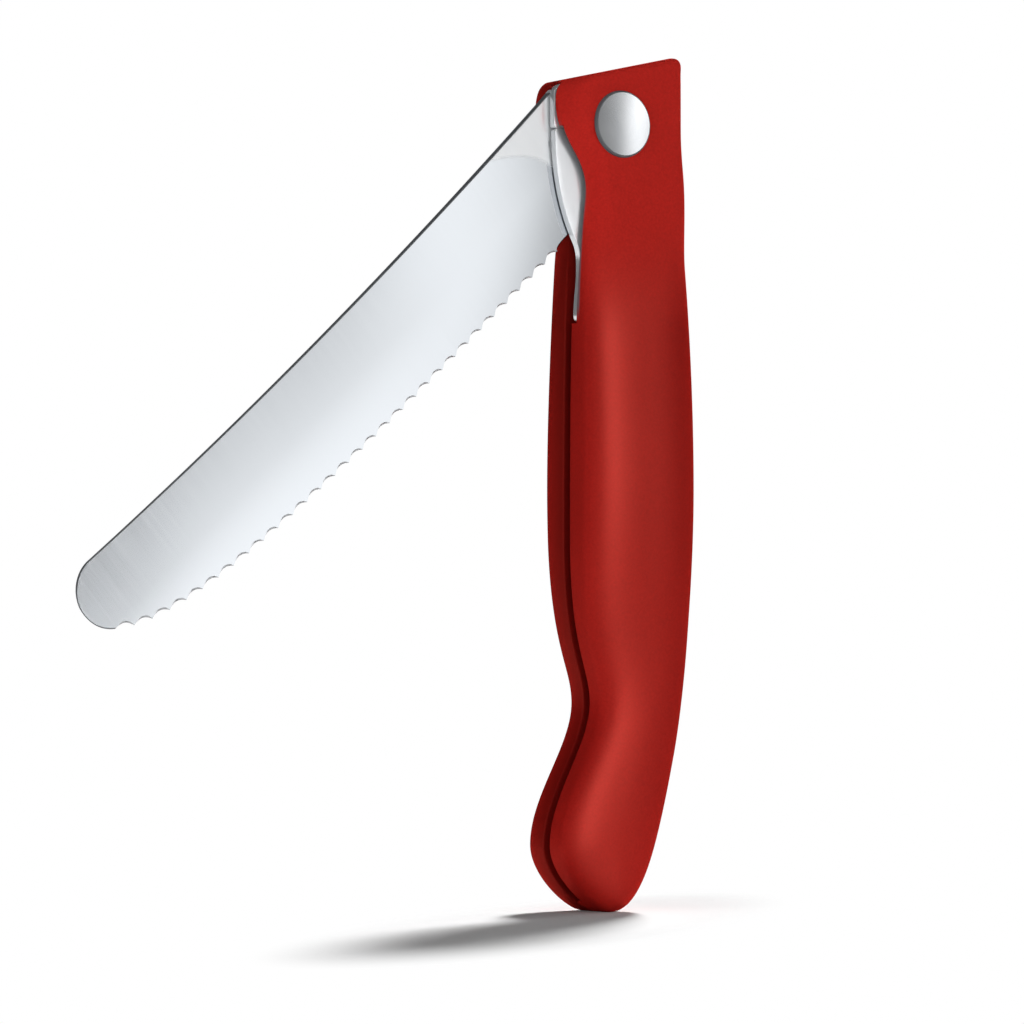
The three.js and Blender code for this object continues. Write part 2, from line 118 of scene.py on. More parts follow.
class Finish:
    def __init__(self, owner):
        owner.use_nodes = True
        self.owner = owner
        self.tree = owner.node_tree
        self.tree.nodes.clear()

    def node(self, kind, settings=None, inputs=None, out=0):
        node = self.tree.nodes.new(kind)
        for key, value in (settings or {}).items():
            setattr(node, key, value)
        for key, value in (inputs or {}).items():
            if isinstance(value, Wire):
                self.tree.links.new(value.socket, node.inputs[key])
            else:
                node.inputs[key].default_value = value
        return Wire(self.tree, node.outputs[out]) if len(node.outputs) else None

    def place(self, turn=0.0, stretch=(1, 1, 1)):
        return self.framed(self.away(self.coords(), pivot), (0, turn, 0), stretch)

    def coords(self):
        return self.node("ShaderNodeTexCoord", out=3)

    def away(self, vector, place):
        return self.node("ShaderNodeVectorMath", {"operation": "SUBTRACT"}, {0: vector, 1: place})

    def framed(self, vector, rotation, size):
        inputs = {0: vector, "Rotation": rotation, "Scale": size}
        return self.node("ShaderNodeMapping", {"vector_type": "TEXTURE"}, inputs)

    def length(self, vector):
        return self.node("ShaderNodeVectorMath", {"operation": "LENGTH"}, {0: vector}, out=1)

    def part(self, vector, axis):
        return self.node("ShaderNodeSeparateXYZ", None, {0: vector}, out=axis)

    def noise(self, vector, scale, detail=2.0, rough=0.5):
        inputs = {"Vector": vector, "Scale": scale, "Detail": detail, "Roughness": rough}
        return self.node("ShaderNodeTexNoise", None, inputs)

    def blend(self, share, dark, light):
        return self.mix(share, (*dark, 1), (*light, 1))

    def mix(self, share, first, second):
        inputs = {0: share, 6: first, 7: second}
        return self.node("ShaderNodeMix", {"data_type": "RGBA"}, inputs, out=2)

    def ease(self, value, start, end):
        inputs = {0: value, 1: start, 2: end, 3: 0.0, 4: 1.0}
        return self.node("ShaderNodeMapRange", {"interpolation_type": "SMOOTHSTEP"}, inputs)

    def band(self, value, rise, fall):
        return self.ease(value, *rise) * (1 - self.ease(value, *fall))

    def bump(self, height, strength, distance):
        inputs = {"Height": height, "Strength": strength, "Distance": distance}
        return self.node("ShaderNodeBump", None, inputs)

    def surface(self, inputs):
        shader = self.node("ShaderNodeBsdfPrincipled", None, inputs)
        self.node("ShaderNodeOutputMaterial", None, {"Surface": shader})
        return self.owner


def newFinish(name):
    return Finish(bpy.data.materials.new(name))


# moulded red plastic with a fine spark-eroded grain
redPlastic = {
    "dark": (0.17, 0.0042, 0.0030),
    "light": (0.47, 0.0150, 0.0112),
    # painted light: a lighter copy of the red for the head
    "litHeadDark": (0.28, 0.0092, 0.0068),
    "litHeadLight": (0.70, 0.0280, 0.0210),
    "headFade": (-0.034, -0.012),
    # painted shade on the rear scale beside the blade slot
    "slotShade": (0.10, 0.0030, 0.0020, 1),
    "slotShadeShare": 0.75,
    "slotShadeDepth": [(-0.0001, 0.0009), (0.0010, 0.0060)],
    # painted shade along the thin lip over the lock leaf
    "lipShade": (0.10, 0.115, 0.13, 1),
    "lipShadeShare": 0.85,
    "lipShadeDepth": [(-0.0031, -0.0027), (-0.0008, -0.0002)],
    "lipShadeHeight": [(-0.031, -0.028), (-0.003, 0.001)],
    "lipShadeSide": (-0.004, -0.002),
    "sheen": (1.0, 0.135, 0.10, 1),
    "gloss": 0.06,
    "grain": 2600,
    "grainShare": 0.7,
    "cloud": 60,
    "rough": 0.40,
    "headRough": 0.45,
    "grainRough": 0.1,
    "strength": 0.3,
    "depth": 0.00005,
}


def makeRedPlastic(spec):
    finish = newFinish("mouldedRed")
    coords = finish.place()
    across, depth, height = (finish.part(coords, axis) for axis in range(3))
    grain = finish.noise(coords, spec["grain"], 3, 0.6)
    cloud = finish.noise(coords, spec["cloud"], 4)
    share = grain * spec["grainShare"] + cloud * (1 - spec["grainShare"])
    # the head is left duller, and its colour is painted lighter, as if lit more than the grip
    head = finish.ease(height, *spec["headFade"])
    rough = spec["rough"] + grain * spec["grainRough"] + spec["headRough"] * head
    normal = finish.bump(grain, spec["strength"], spec["depth"])
    colour = finish.blend(share, spec["dark"], spec["light"])
    colour = finish.mix(head, colour, finish.blend(share, spec["litHeadDark"], spec["litHeadLight"]))
    # painted shade: the rear scale is darkened towards the blade slot
    slotShade = finish.band(depth, *spec["slotShadeDepth"])
    colour = finish.mix(slotShade * spec["slotShadeShare"], colour, spec["slotShade"])
    # painted shade: the thin lip over the lock leaf is coloured dark blue-grey
    lipShade = finish.band(depth, *spec["lipShadeDepth"]) * finish.band(height, *spec["lipShadeHeight"])
    lipShade = lipShade * (1 - finish.ease(across, *spec["lipShadeSide"]))
    colour = finish.mix(lipShade * spec["lipShadeShare"], colour, spec["lipShade"])
    body = finish.node("ShaderNodeBsdfPrincipled", None, {
        "Base Color": colour, "Roughness": rough, "Normal": normal, "Specular IOR Level": 0.0,
    })
    sheen = finish.node("ShaderNodeBsdfAnisotropic", None, {
        "Color": spec["sheen"], "Roughness": rough, "Normal": normal,
    })
    mixed = finish.node("ShaderNodeMixShader", None, {0: spec["gloss"], 1: body, 2: sheen})
    finish.node("ShaderNodeOutputMaterial", None, {"Surface": mixed})
    return finish.owner


# the rooms inside the front scale, always in shade
pocketDark = {
    "dark": (0.06, 0.07, 0.08), "light": (0.11, 0.125, 0.14), "grain": 900, "rough": 0.6, "grainRough": 0.15,
    "strength": 0.2, "depth": 0.00002,
}


def makePocketShade(spec):
    finish = newFinish("pocketShade")
    grain = finish.noise(finish.place(), spec["grain"], 3, 0.6)
    return finish.surface({
        "Base Color": finish.blend(grain, spec["dark"], spec["light"]),
        "Roughness": spec["rough"] + grain * spec["grainRough"],
        "Normal": finish.bump(grain, spec["strength"], spec["depth"]),
    })


# steels: fine grinding lines along one direction over a soft waviness
steels = {
    "bladeSteel": {
        "dark": (0.575, 0.60, 0.63), "light": (0.635, 0.66, 0.685), "turn": bladeTurn,
        "stretch": (60, 60, 1), "lines": 1500, "rough": 0.055, "depth": 0.000004, "strength": 0.03,
        "flatDark": (0.80, 0.82, 0.835), "flatLight": (0.87, 0.89, 0.905),
        "flatMetal": 0.5, "flatRough": 0.11,
    },
    # painted shade: a near-black steel for the blade spine, the plain nose edge and the rivet rims
    "shadedEdge": {
        "dark": (0.06, 0.067, 0.072), "light": (0.13, 0.14, 0.15), "turn": bladeTurn,
        "stretch": (30, 30, 1), "lines": 2600, "rough": 0.55, "depth": 0.00002, "strength": 0.3,
        "metal": 0.0,
    },
    # tooth bevels: the roughness is the rough grinding, and the dark grey colour is painted shade
    "toothSteel": {
        "dark": (0.36, 0.37, 0.385), "light": (0.52, 0.53, 0.545), "turn": bladeTurn,
        "stretch": (30, 30, 1), "lines": 2600, "rough": 0.5, "depth": 0.00002, "strength": 0.3,
        "metal": 0.0,
    },
    "linerSteel": {
        "dark": (0.70, 0.72, 0.74), "light": (0.80, 0.81, 0.83), "turn": 0.0,
        "stretch": (1, 40, 40), "lines": 1800, "rough": 0.17, "depth": 0.000006, "strength": 0.06,
        "metal": 0.7,
    },
    "brushedFace": {
        "dark": (0.70, 0.72, 0.74), "light": (0.79, 0.81, 0.83), "turn": 0.0,
        "stretch": (1, 40, 40), "lines": 1800, "rough": 0.14, "depth": 0.000006, "strength": 0.06,
        "metal": 0.5,
    },
    "pinSteel": {
        "dark": (0.55, 0.56, 0.58), "light": (0.72, 0.73, 0.75), "turn": 0.0,
        "stretch": (1, 30, 1), "lines": 3600, "rough": 0.3, "depth": 0.00001, "strength": 0.15,
    },
    "bearingBronze": {
        "dark": (0.42, 0.27, 0.10), "light": (0.62, 0.43, 0.19), "turn": 0.0,
        "stretch": (1, 20, 1), "lines": 5000, "rough": 0.36, "depth": 0.00001, "strength": 0.15,
    },
}


# what the steels share: a soft waviness, and how far lines and waves show
milled = {"cloud": 45, "lineShare": 0.6, "lineRough": 0.04, "cloudRough": 0.02}

# where the blade is ground: past an arc that bows towards the tip at the spine
plunge = {"start": 10.95, "bow": 0.104, "foot": 0.385, "soft": 1.4}


def groundShare(finish):
    local = finish.place(bladeTurn, (mm, mm, mm))
    across, reach = finish.part(local, 0), finish.part(local, 2)
    over = across.maths("MAXIMUM", across - plunge["foot"], 0.0)
    start = over * over * plunge["bow"] + plunge["start"]
    return finish.ease(reach - start, 0.0, plunge["soft"])


def makeSteel(name, spec):
    finish = newFinish(name)
    lines = finish.noise(finish.place(spec["turn"], spec["stretch"]), spec["lines"], 4, 0.65)
    cloud = finish.noise(finish.place(), milled["cloud"], 3)
    share = lines * milled["lineShare"] + cloud * (1 - milled["lineShare"])
    colour = finish.blend(share, spec["dark"], spec["light"])
    metal = spec.get("metal", 1.0)
    rough = spec["rough"] + lines * milled["lineRough"] + cloud * milled["cloudRough"]
    if "flatDark" in spec:
        # the unground flat beside the pivot keeps its rolled finish
        flat = finish.blend(share, spec["flatDark"], spec["flatLight"])
        ground = groundShare(finish)
        colour = finish.mix(ground, flat, colour)
        metal = spec["flatMetal"] + ground * (1 - spec["flatMetal"])
        rough = rough + spec["flatRough"] * (1 - ground)
    return finish.surface({
        "Base Color": colour,
        "Metallic": metal,
        "Roughness": rough,
        "Normal": finish.bump(lines, spec["strength"], spec["depth"]),
    })


# rivet heads: polished, with the faint rings of the turning tool
rivetSteel = {
    "dark": (0.86, 0.885, 0.915), "light": (0.94, 0.96, 0.98), "rings": 5200, "ringShare": 0.12,
    "cloud": 180, "rough": 0.12, "cloudRough": 0.06, "strength": 0.03, "depth": 0.000001,
}


def makeRivetSteel(spec):
    finish = newFinish("turnedSteel")
    radius = finish.length(finish.place(0, (1, 1e6, 1)))  # depth is flattened away
    rings = radius.maths("SINE", radius * spec["rings"]) * 0.5 + 0.5
    cloud = finish.noise(finish.place(), spec["cloud"], 4)
    share = rings * spec["ringShare"] + cloud * (1 - spec["ringShare"])
    return finish.surface({
        "Base Color": finish.blend(share, spec["dark"], spec["light"]),
        "Metallic": 1.0,
        "Roughness": spec["rough"] + cloud * spec["cloudRough"],
        "Normal": finish.bump(rings, spec["strength"], spec["depth"]),
    })


mouldedRed = makeRedPlastic(redPlastic)
pocketShade = makePocketShade(pocketDark)
turnedSteel = makeRivetSteel(rivetSteel)
steel = {name: makeSteel(name, spec) for name, spec in steels.items()}
print("finishes made:", 3 + len(steel))


# meshes: drawn in millimetres from the pivot axis, as across, depth, height
def meshOf(name, vertices, faces, shades=None):
    mesh = bpy.data.meshes.new(name)
    points = np.asarray(vertices, dtype=float) * mm + np.array(pivot)
    mesh.from_pydata(points.tolist(), [], [tuple(int(i) for i in face) for face in faces])
    if shades is not None:
        mesh.polygons.foreach_set("material_index", np.asarray(shades, dtype=np.int32))
    work = bmesh.new()
    work.from_mesh(mesh)
    bmesh.ops.remove_doubles(work, verts=work.verts, dist=1e-7)
    bmesh.ops.dissolve_degenerate(work, edges=work.edges, dist=1e-8)
    bmesh.ops.recalc_face_normals(work, faces=work.faces)
    if work.calc_volume(signed=True) < 0:
        bmesh.ops.reverse_faces(work, faces=work.faces)
    work.to_mesh(mesh)
    work.free()
    return mesh


def carved(mesh, cutters):
    scene = bpy.context.scene.collection.objects
    blank = bpy.data.objects.new("blank", mesh)
    scene.link(blank)
    tools = []
    for vertices, faces in cutters:
        tool = bpy.data.objects.new("cutter", meshOf("cutter", vertices, faces))
        scene.link(tool)
        tools.append(tool)
        cut = blank.modifiers.new("cut", "BOOLEAN")
        cut.operation = "DIFFERENCE"
        cut.solver = "EXACT"
        cut.use_hole_tolerant = True
        cut.object = tool
    graph = bpy.context.evaluated_depsgraph_get()
    shaped = bpy.data.meshes.new_from_object(blank.evaluated_get(graph))
    work = bmesh.new()
    work.from_mesh(shaped)
    bmesh.ops.remove_doubles(work, verts=work.verts, dist=1e-6)
    bmesh.ops.dissolve_degenerate(work, edges=work.edges, dist=1e-7)
    bmesh.ops.holes_fill(work, edges=work.edges, sides=6)
    work.to_mesh(shaped)
    work.free()
    for thing in (blank, *tools):
        spare = thing.data
        bpy.data.objects.remove(thing)
        bpy.data.meshes.remove(spare)
    return shaped


def addPiece(name, mesh, materials, body, sharp=35):
    shades = np.zeros(len(mesh.polygons), dtype=np.int32)
    mesh.polygons.foreach_get("material_index", shades)
    mesh.materials.clear()
    for material in materials:
        mesh.materials.append(material)
    mesh.polygons.foreach_set("material_index", shades)
    mesh.shade_smooth()
    mesh.set_sharp_from_angle(angle=math.radians(sharp))
    piece = bpy.data.objects.new(name, mesh)
    bpy.context.scene.collection.objects.link(piece)
    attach(piece, body)
    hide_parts(name.split(".")[0])


def stacked(rings, closed=False):
    count = len(rings[0])
    faces = []
    for level in range(len(rings) - (0 if closed else 1)):
        here, there = level * count, (level + 1) % len(rings) * count
        faces += [
            (here + i, here + (i + 1) % count, there + (i + 1) % count, there + i)
            for i in range(count)
        ]
    if not closed:
        faces += [tuple(range(count)), tuple(range(len(rings) * count - count, len(rings) * count))]
    return np.concatenate(rings), faces


def flatRing(loop, depth):
    return np.stack([loop[:, 0], np.full(len(loop), depth), loop[:, 1]], 1)


def turned(profile, place=(0, 0), steps=96, closed=False):
    turn = np.linspace(0, 2 * math.pi, steps, endpoint=False)
    circle = np.stack([np.cos(turn), np.sin(turn)], 1)
    rings = [flatRing(np.array(place) + radius * circle, depth) for radius, depth in profile]
    return stacked(rings, closed)


curveSteps, cornerSteps = 160, 80


def bezier(p0, p1, p2, p3, steps=curveSteps):
    t = np.linspace(0, 1, steps + 1)[:, None]
    p0, p1, p2, p3 = (np.array(p, dtype=float) for p in (p0, p1, p2, p3))
    return (1 - t) ** 3 * p0 + 3 * (1 - t) ** 2 * t * p1 + 3 * (1 - t) * t ** 2 * p2 + t ** 3 * p3


def quadratic(p0, p1, p2, steps=cornerSteps):
    p0, p1, p2 = (np.array(p, dtype=float) for p in (p0, p1, p2))
    return bezier(p0, p0 + (p1 - p0) * 2 / 3, p2 + (p1 - p2) * 2 / 3, p2, steps)


def arc(centre, radius, start, end, steps):
    turn = np.radians(np.linspace(start, end, steps + 1))
    return np.array(centre) + radius * np.stack([np.cos(turn), np.sin(turn)], 1)


def sway(start, across, height, startPull, endPull, steps=curveSteps):
    run = height - start[1]
    return bezier(
        start, (start[0], start[1] + startPull * run),
        (across, height - endPull * run), (across, height), steps,
    )


def joined(*runs):
    points = [np.asarray(runs[0], dtype=float)]
    for run in runs[1:]:
        run = np.asarray(run, dtype=float)
        points.append(run[1:] if np.allclose(run[0], points[-1][-1], atol=1e-6) else run)
    return np.concatenate(points)


def resampled(points, shares):
    lengths = np.concatenate([[0], np.cumsum(np.hypot(*np.diff(points, axis=0).T))])
    at = np.asarray(shares) * lengths[-1]
    return np.stack([np.interp(at, lengths, points[:, i]) for i in range(points.shape[1])], 1)


def clustered(count, power):
    x = np.linspace(-1, 1, count)
    return 0.5 + 0.5 * np.sign(x) * (1 - (1 - np.abs(x)) ** power)


def smoothStep(value, start, end):
    t = np.clip((value - start) / (end - start), 0, 1)
    return t * t * (3 - 2 * t)


def eased(loop, radius, sharpest=25):
    # rounds every corner of a loop that turns by more than the sharpest angle
    run = np.roll(loop, -1, 0) - loop
    length = np.hypot(*run.T)
    heading = run / length[:, None]
    bend = np.degrees(np.arccos(np.clip((np.roll(heading, 1, 0) * heading).sum(1), -1, 1)))
    at = np.concatenate([[0], np.cumsum(length)])
    whole, at = at[-1], at[:-1]
    corners = np.flatnonzero(bend > sharpest)
    gaps = (np.roll(at[corners], -1) - at[corners]) % whole
    reach = np.minimum(radius, 0.45 * np.minimum(gaps, np.roll(gaps, 1)))

    def spot(where):
        return np.array([np.interp(where, at, loop[:, i], period=whole) for i in (0, 1)])

    points = []
    for k, corner in enumerate(corners):
        here, after = at[corner], reach[(k + 1) % len(corners)]
        points.append(quadratic(spot(here - reach[k]), loop[corner], spot(here + reach[k]), 8))
        ahead = (at - here) % whole
        between = np.flatnonzero((ahead > reach[k] + 1e-3) & (ahead < gaps[k] - after - 1e-3))
        points.append(loop[between[np.argsort(ahead[between])]])
    return np.concatenate(points)


def inset(loop, amount):
    before = loop - np.roll(loop, 1, 0)
    after = np.roll(loop, -1, 0) - loop
    sides = []
    for run in (before, after):
        run = run / np.linalg.norm(run, axis=1)[:, None]
        sides.append(np.stack([-run[:, 1], run[:, 0]], 1))
    middle = sides[0] + sides[1]
    middle /= np.linalg.norm(middle, axis=1)[:, None]
    return loop + middle * (amount / np.maximum(0.5, (middle * sides[0]).sum(1)))[:, None]


def plate(loop, front, back, rounding, flush=None, steps=5):
    x, z = loop[:, 0], loop[:, 1]
    if (x * np.roll(z, -1) - np.roll(x, -1) * z).sum() < 0:
        loop = loop[::-1]
    turns = np.radians(np.linspace(0, 90, steps + 1))
    levels = [(rounding * (1 - math.sin(a)), front + rounding * (1 - math.cos(a))) for a in turns]
    levels += [(rounding * (1 - math.sin(a)), back - rounding * (1 - math.cos(a))) for a in turns[::-1]]
    rings = []
    for amount, depth in levels:
        ring = inset(loop, amount)
        if flush is not None:
            square = np.abs(loop[:, 1] - flush) < 0.1  # this edge butts and stays square
            ring[square, 1] = loop[square, 1]
        rings.append(flatRing(ring, depth))
    return stacked(rings)


# handle scales: one outline, a crowned outside and a flat inside
handle = {
    "headSlot": 10.05, "headSpine": 12.0, "headRise": 8.82, "headSlant": 13.5,
    "slotCorner": 2.9, "spineCorner": 2.4,
    "scoopSlot": 5.0, "scoopDrop": 11.2,
    "gripSlot": 6.5, "gripSlotDrop": 64.0,
    "notchSlot": 2.75, "notchDrop": 90.0,
    "beakSlot": 10.35, "beakDrop": 112.0, "beakPull": 4.9,
    "buttAcross": -0.6, "buttDrop": 122.4, "buttSlotPull": 2.6, "buttSpinePull": 6.0,
    "tailSpine": 11.6, "tailDrop": 99.0, "tailLean": 13.6, "tailPull": 12.0,
    "gripSpine": 15.3, "gripSpineDrop": 56.0, "gripSpinePull": 14.0,
    "slotHalf": 0.8, "mouldRound": 0.3,
    "thickness": [(12.25, 11.8), (56, 15.0), (90, 11.8), (112, 12.4)],
    "headWall": 3.6, "cornerWall": 2.35, "wall": [(56, 4.0), (90, 2.8), (112, 3.3)],
    "scoopWall": 3.3, "rearWall": 0.62, "spineWall": 2.4, "flatDrop": 6.25, "roundedDrop": 22.0,
    "headRound": 3.0, "cornerRound": 6.0, "gripRound": 10.0,
    "headPower": 5.0, "cornerPower": 3.0, "gripPower": 2.5,
    "headCrown": 0.2, "cornerCrown": 1.0, "gripCrown": 0.4,
    "topWall": 5.0, "topRound": 1.1, "topPower": 2.2, "topCrown": 0.45,
    "cornerFade": (1.0, 5.0), "topFade": (0.8, 4.5), "topSide": (4.0, 9.5), "scoopDrops": (-5, 0.5, 9.5, 20),
    "slotPulls": [(0.45, 0.45), (0.12, 0.88), (0.7, 0.22), (0.3, 0.35)], "spinePulls": (0.7, 0.18),
    "rows": 320, "columns": 60, "rowCrowd": 1.35, "columnCrowd": 2.2, "topBow": 12, "buttBow": 8,
}


def topHeight(across):
    return handle["headRise"] + across * math.tan(math.radians(handle["headSlant"]))


def handleSides(spec):
    slant = math.radians(spec["headSlant"])
    lean = math.radians(spec["tailLean"])
    along = np.array([math.cos(slant), math.sin(slant)])
    leaning = spec["tailPull"] * np.array([math.sin(lean), math.cos(lean)])
    slotTop = np.array([-spec["headSlot"], topHeight(-spec["headSlot"])])
    spineTop = np.array([spec["headSpine"], topHeight(spec["headSpine"])])
    slotSide = [quadratic(
        slotTop + spec["slotCorner"] * along, slotTop, slotTop - [0, spec["slotCorner"]],
    )]
    swings = (
        ("scoopSlot", "scoopDrop"), ("gripSlot", "gripSlotDrop"),
        ("notchSlot", "notchDrop"), ("beakSlot", "beakDrop"),
    )
    for (side, drop), pulls in zip(swings, spec["slotPulls"]):
        slotSide.append(sway(slotSide[-1][-1], -spec[side], -spec[drop], *pulls))
    butt = np.array([spec["buttAcross"], -spec["buttDrop"]])
    tail = np.array([spec["tailSpine"], -spec["tailDrop"]])
    grip = np.array([spec["gripSpine"], -spec["gripSpineDrop"]])
    beak = slotSide[-1][-1]
    slotButt = bezier(beak, beak - [0, spec["beakPull"]], butt - [spec["buttSlotPull"], 0], butt)
    spineButt = bezier(butt, butt + [spec["buttSpinePull"], 0], tail - leaning, tail)
    back = bezier(tail, tail + leaning, grip - [0, spec["gripSpinePull"]], grip)
    spineSide = joined(
        back, sway(grip, spec["headSpine"], 0, *spec["spinePulls"]),
        [(spec["headSpine"], 0), (spec["headSpine"], spineTop[1] - spec["spineCorner"])],
        quadratic(spineTop - [0, spec["spineCorner"]], spineTop, spineTop - spec["spineCorner"] * along),
    )
    return joined(*slotSide), slotButt, spineButt, spineSide


def handlePatch(spec):
    # the patch has its four corners in the middle of the rounded ones
    slotSide, slotButt, spineButt, spineSide = handleSides(spec)
    corner, bend = cornerSteps // 2, curveSteps // 2
    top = joined(slotSide[:corner + 1][::-1], spineSide[-corner - 1:][::-1])
    left = joined(slotSide[corner:], slotButt[:bend])
    right = joined(spineButt[bend:], spineSide[:-corner])[::-1]
    bottom = joined(slotButt[bend - 1:], spineButt[:bend + 1])
    rows = clustered(spec["rows"], spec["rowCrowd"])
    columns = clustered(spec["columns"], spec["columnCrowd"])
    top, bottom = resampled(top, columns), resampled(bottom, columns)
    left, right = resampled(left, rows), resampled(right, rows)
    s, t = columns[None, :, None], rows[:, None, None]
    straight = left[:, None] * (1 - s) + right[:, None] * s
    topBow = top[None] - (top[0] * (1 - s) + top[-1] * s)
    bottomBow = bottom[None] - (bottom[0] * (1 - s) + bottom[-1] * s)
    return straight + topBow * (1 - t) ** spec["topBow"] + bottomBow * t ** spec["buttBow"]


def edgeDistance(points, outline, batch=2000):
    run = np.roll(outline, -1, 0) - outline
    length = (run ** 2).sum(1)
    least = np.full(len(points), np.inf)
    for start in range(0, len(points), batch):
        part = points[start:start + batch]
        away = part[:, None] - outline[None]
        share = np.clip((away * run).sum(2) / length, 0, 1)
        gap = np.hypot(*np.moveaxis(away - share[..., None] * run, 2, 0))
        least[start:start + batch] = gap.min(1)
    return least


def station(drop, stations):
    value = stations[0][1] + 0 * drop
    for (start, before), (end, after) in zip(stations, stations[1:]):
        value = np.where(drop > start, before + (after - before) * smoothStep(drop, start, end), value)
    return value


def scaleHeight(spec, points, outline, halfWidth, lift):
    drop = -points[:, 1]
    toCorner = smoothStep(-points[:, 0], *spec["cornerFade"])
    toTop = 1 - smoothStep(topHeight(points[:, 0]) - points[:, 1], *spec["topFade"])
    toTop *= 1 - smoothStep(-points[:, 0], *spec["topSide"])

    def headed(head, corner, top):
        return (head + (corner - head) * toCorner) * (1 - toTop) + top * toTop

    half = station(drop, spec["thickness"]) / 2
    headWall = headed(spec["headWall"], spec["cornerWall"], spec["topWall"])
    scoopWall = np.maximum(headWall, spec["scoopWall"])
    headWalls = zip(spec["scoopDrops"], (headWall, scoopWall, headWall, scoopWall))
    slotWall = station(drop, [*headWalls, *spec["wall"]])
    drops = (spec["flatDrop"], spec["roundedDrop"])
    headRound = headed(spec["headRound"], spec["cornerRound"], spec["topRound"])
    headPower = headed(spec["headPower"], spec["cornerPower"], spec["topPower"])
    reach = station(drop, [(drops[0], headRound), (drops[1], spec["gripRound"])])
    power = station(drop, [(drops[0], headPower), (drops[1], spec["gripPower"])])
    headCrown = headed(spec["headCrown"], spec["cornerCrown"], spec["topCrown"])
    crown = station(drop, [(drops[0], headCrown), (drops[1], spec["gripCrown"])])
    toSpine = smoothStep(points[:, 0], -spec["gripSlot"] / 2, spec["gripSpine"])
    toSpine *= station(drop, [(drops[0], 0.0), (drops[1], 1.0)])
    wall = slotWall + (spec["spineWall"] - slotWall) * toSpine
    inside = np.clip(1 - edgeDistance(points, outline) / np.minimum(reach, halfWidth), 0, 1)
    wall = wall + lift
    return wall + (half - wall) * (1 - inside ** power) ** crown


def makeScale(name, spec, side, cutters):
    patch = handlePatch(spec)
    rows, columns = patch.shape[:2]
    index = np.arange(rows * columns).reshape(rows, columns)
    rim = np.concatenate([index[:, 0], index[-1, 1:], index[-2::-1, -1], index[0, -2:0:-1]])
    flat = patch.reshape(-1, 2)
    outline = flat[rim]
    width = np.linalg.norm(patch[:, -1] - patch[:, 0], axis=1) / 2
    heights = scaleHeight(spec, flat, outline, np.repeat(width, columns), spec["rearWall"] * (side > 0))
    vertices = [np.stack([flat[:, 0], side * heights, flat[:, 1]], 1)]
    faces = [
        (index[i, j], index[i + 1, j], index[i + 1, j + 1], index[i, j + 1])
        for i in range(rows - 1) for j in range(columns - 1)
    ]
    ring = rim
    for angle in (90, 60, 30, 0):
        turn = math.radians(angle)
        depth = spec["slotHalf"] + spec["mouldRound"] * (1 - math.cos(turn))
        loop = inset(outline, spec["mouldRound"] * (1 - math.sin(turn)))
        start = sum(len(part) for part in vertices)
        vertices.append(flatRing(loop, side * depth))
        nextRing = np.arange(start, start + len(loop))
        for i in range(len(loop)):
            j = (i + 1) % len(loop)
            faces.append((ring[i], ring[j], nextRing[j], nextRing[i]))
        ring = nextRing
    faces.append(tuple(ring))
    mesh = carved(meshOf(name, np.concatenate(vertices), faces), cutters)
    deepest = liner["front"] - liner["travel"] - liner["roofSlack"]
    highest = liner["front"] - 2 * liner["roofSlack"]
    for face in mesh.polygons:
        depth = (face.center.y - pivot.y) / mm
        face.material_index = int(face.normal.y > 0.5 and deepest < depth < highest)  # roofs of the rooms
    addPiece(name, mesh, [mouldedRed, pocketShade], "handle")


# liner, lock leaf and the rooms they need in the front scale
liner = {
    "front": -2.0, "back": -0.8, "slotEdge": -10.15, "topInset": 0.6, "topCorner": 1.6,
    "spineEdge": 9.6, "drop": 31.0, "corner": 1.5, "rounding": 0.14, "cornerEase": 0.6,
    "rootDrop": 28.0, "tailSide": 3.4, "innerSide": 0.8, "ring": 5.9, "tip": -0.9, "gap": 0.4, "tipGap": 0.04,
    "tipSide": 10.0, "thumb": [(-10.0, -9.0), (-8.0, -14.6), (-5.95, -18.4)],
    "thumbEnd": [(-5.35, -19.5), (-5.2, -20.6), (-5.25, -22.6)],
    "endSide": 5.75, "endDrop": 30.9, "endCorner": 1.2,
    "recessGap": 0.25, "endGap": 0.1, "travel": 1.2, "roofSlack": 0.05, "outside": -30.0, "overrun": 0.2,
    "detent": (-4.2, -9.5), "detentHole": 0.65, "ball": 0.6, "ballDepth": -1.22, "ballSeat": -1.86,
}


def leafInside(spec, gap, tipGap):
    ring, inner, tip = spec["ring"] - gap, spec["innerSide"] - gap, spec["tip"] + tipGap
    start = -90 - math.degrees(math.asin(inner / ring))
    end = -180 - math.degrees(math.asin(tip / ring))
    return joined([(-inner, -spec["rootDrop"] - gap)], arc((0, 0), ring, start, end, 24))


def linerTop(spec, across):
    return topHeight(across) - spec["topInset"]


def linerLoop(spec):
    slot, spine, drop = spec["slotEdge"], spec["spineEdge"], -spec["drop"]
    tail = -spec["tailSide"] + spec["gap"]
    top = np.array([slot, linerTop(spec, slot)])
    return joined(
        [(tail, -spec["rootDrop"] - spec["gap"])], leafInside(spec, spec["gap"], spec["tipGap"]),
        [(slot, spec["tip"] + spec["tipGap"])],
        quadratic(
            top - [0, spec["topCorner"]], top,
            (slot + spec["topCorner"], linerTop(spec, slot + spec["topCorner"])), 12,
        ),
        [(spine, linerTop(spec, spine))],
        quadratic((spine, drop + spec["corner"]), (spine, drop), (spine - spec["corner"], drop), 8),
        [(tail, drop)],
    )


def leafLoop(spec):
    tip = np.array([-spec["tipSide"], spec["tip"]])
    end = np.array([-spec["endSide"], -spec["endDrop"]])
    corner = spec["endCorner"]
    return joined(
        [(-spec["tailSide"], -spec["rootDrop"])], leafInside(spec, 0, 0),
        bezier(tip, *spec["thumb"], 30), bezier(spec["thumb"][-1], *spec["thumbEnd"], 10),
        sway(spec["thumbEnd"][-1], end[0], end[1] + corner, 0.4, 0.4, 14),
        quadratic(end + [0, corner], end, end + [corner, 0], 10),
        [(-spec["tailSide"], end[1])],
    )


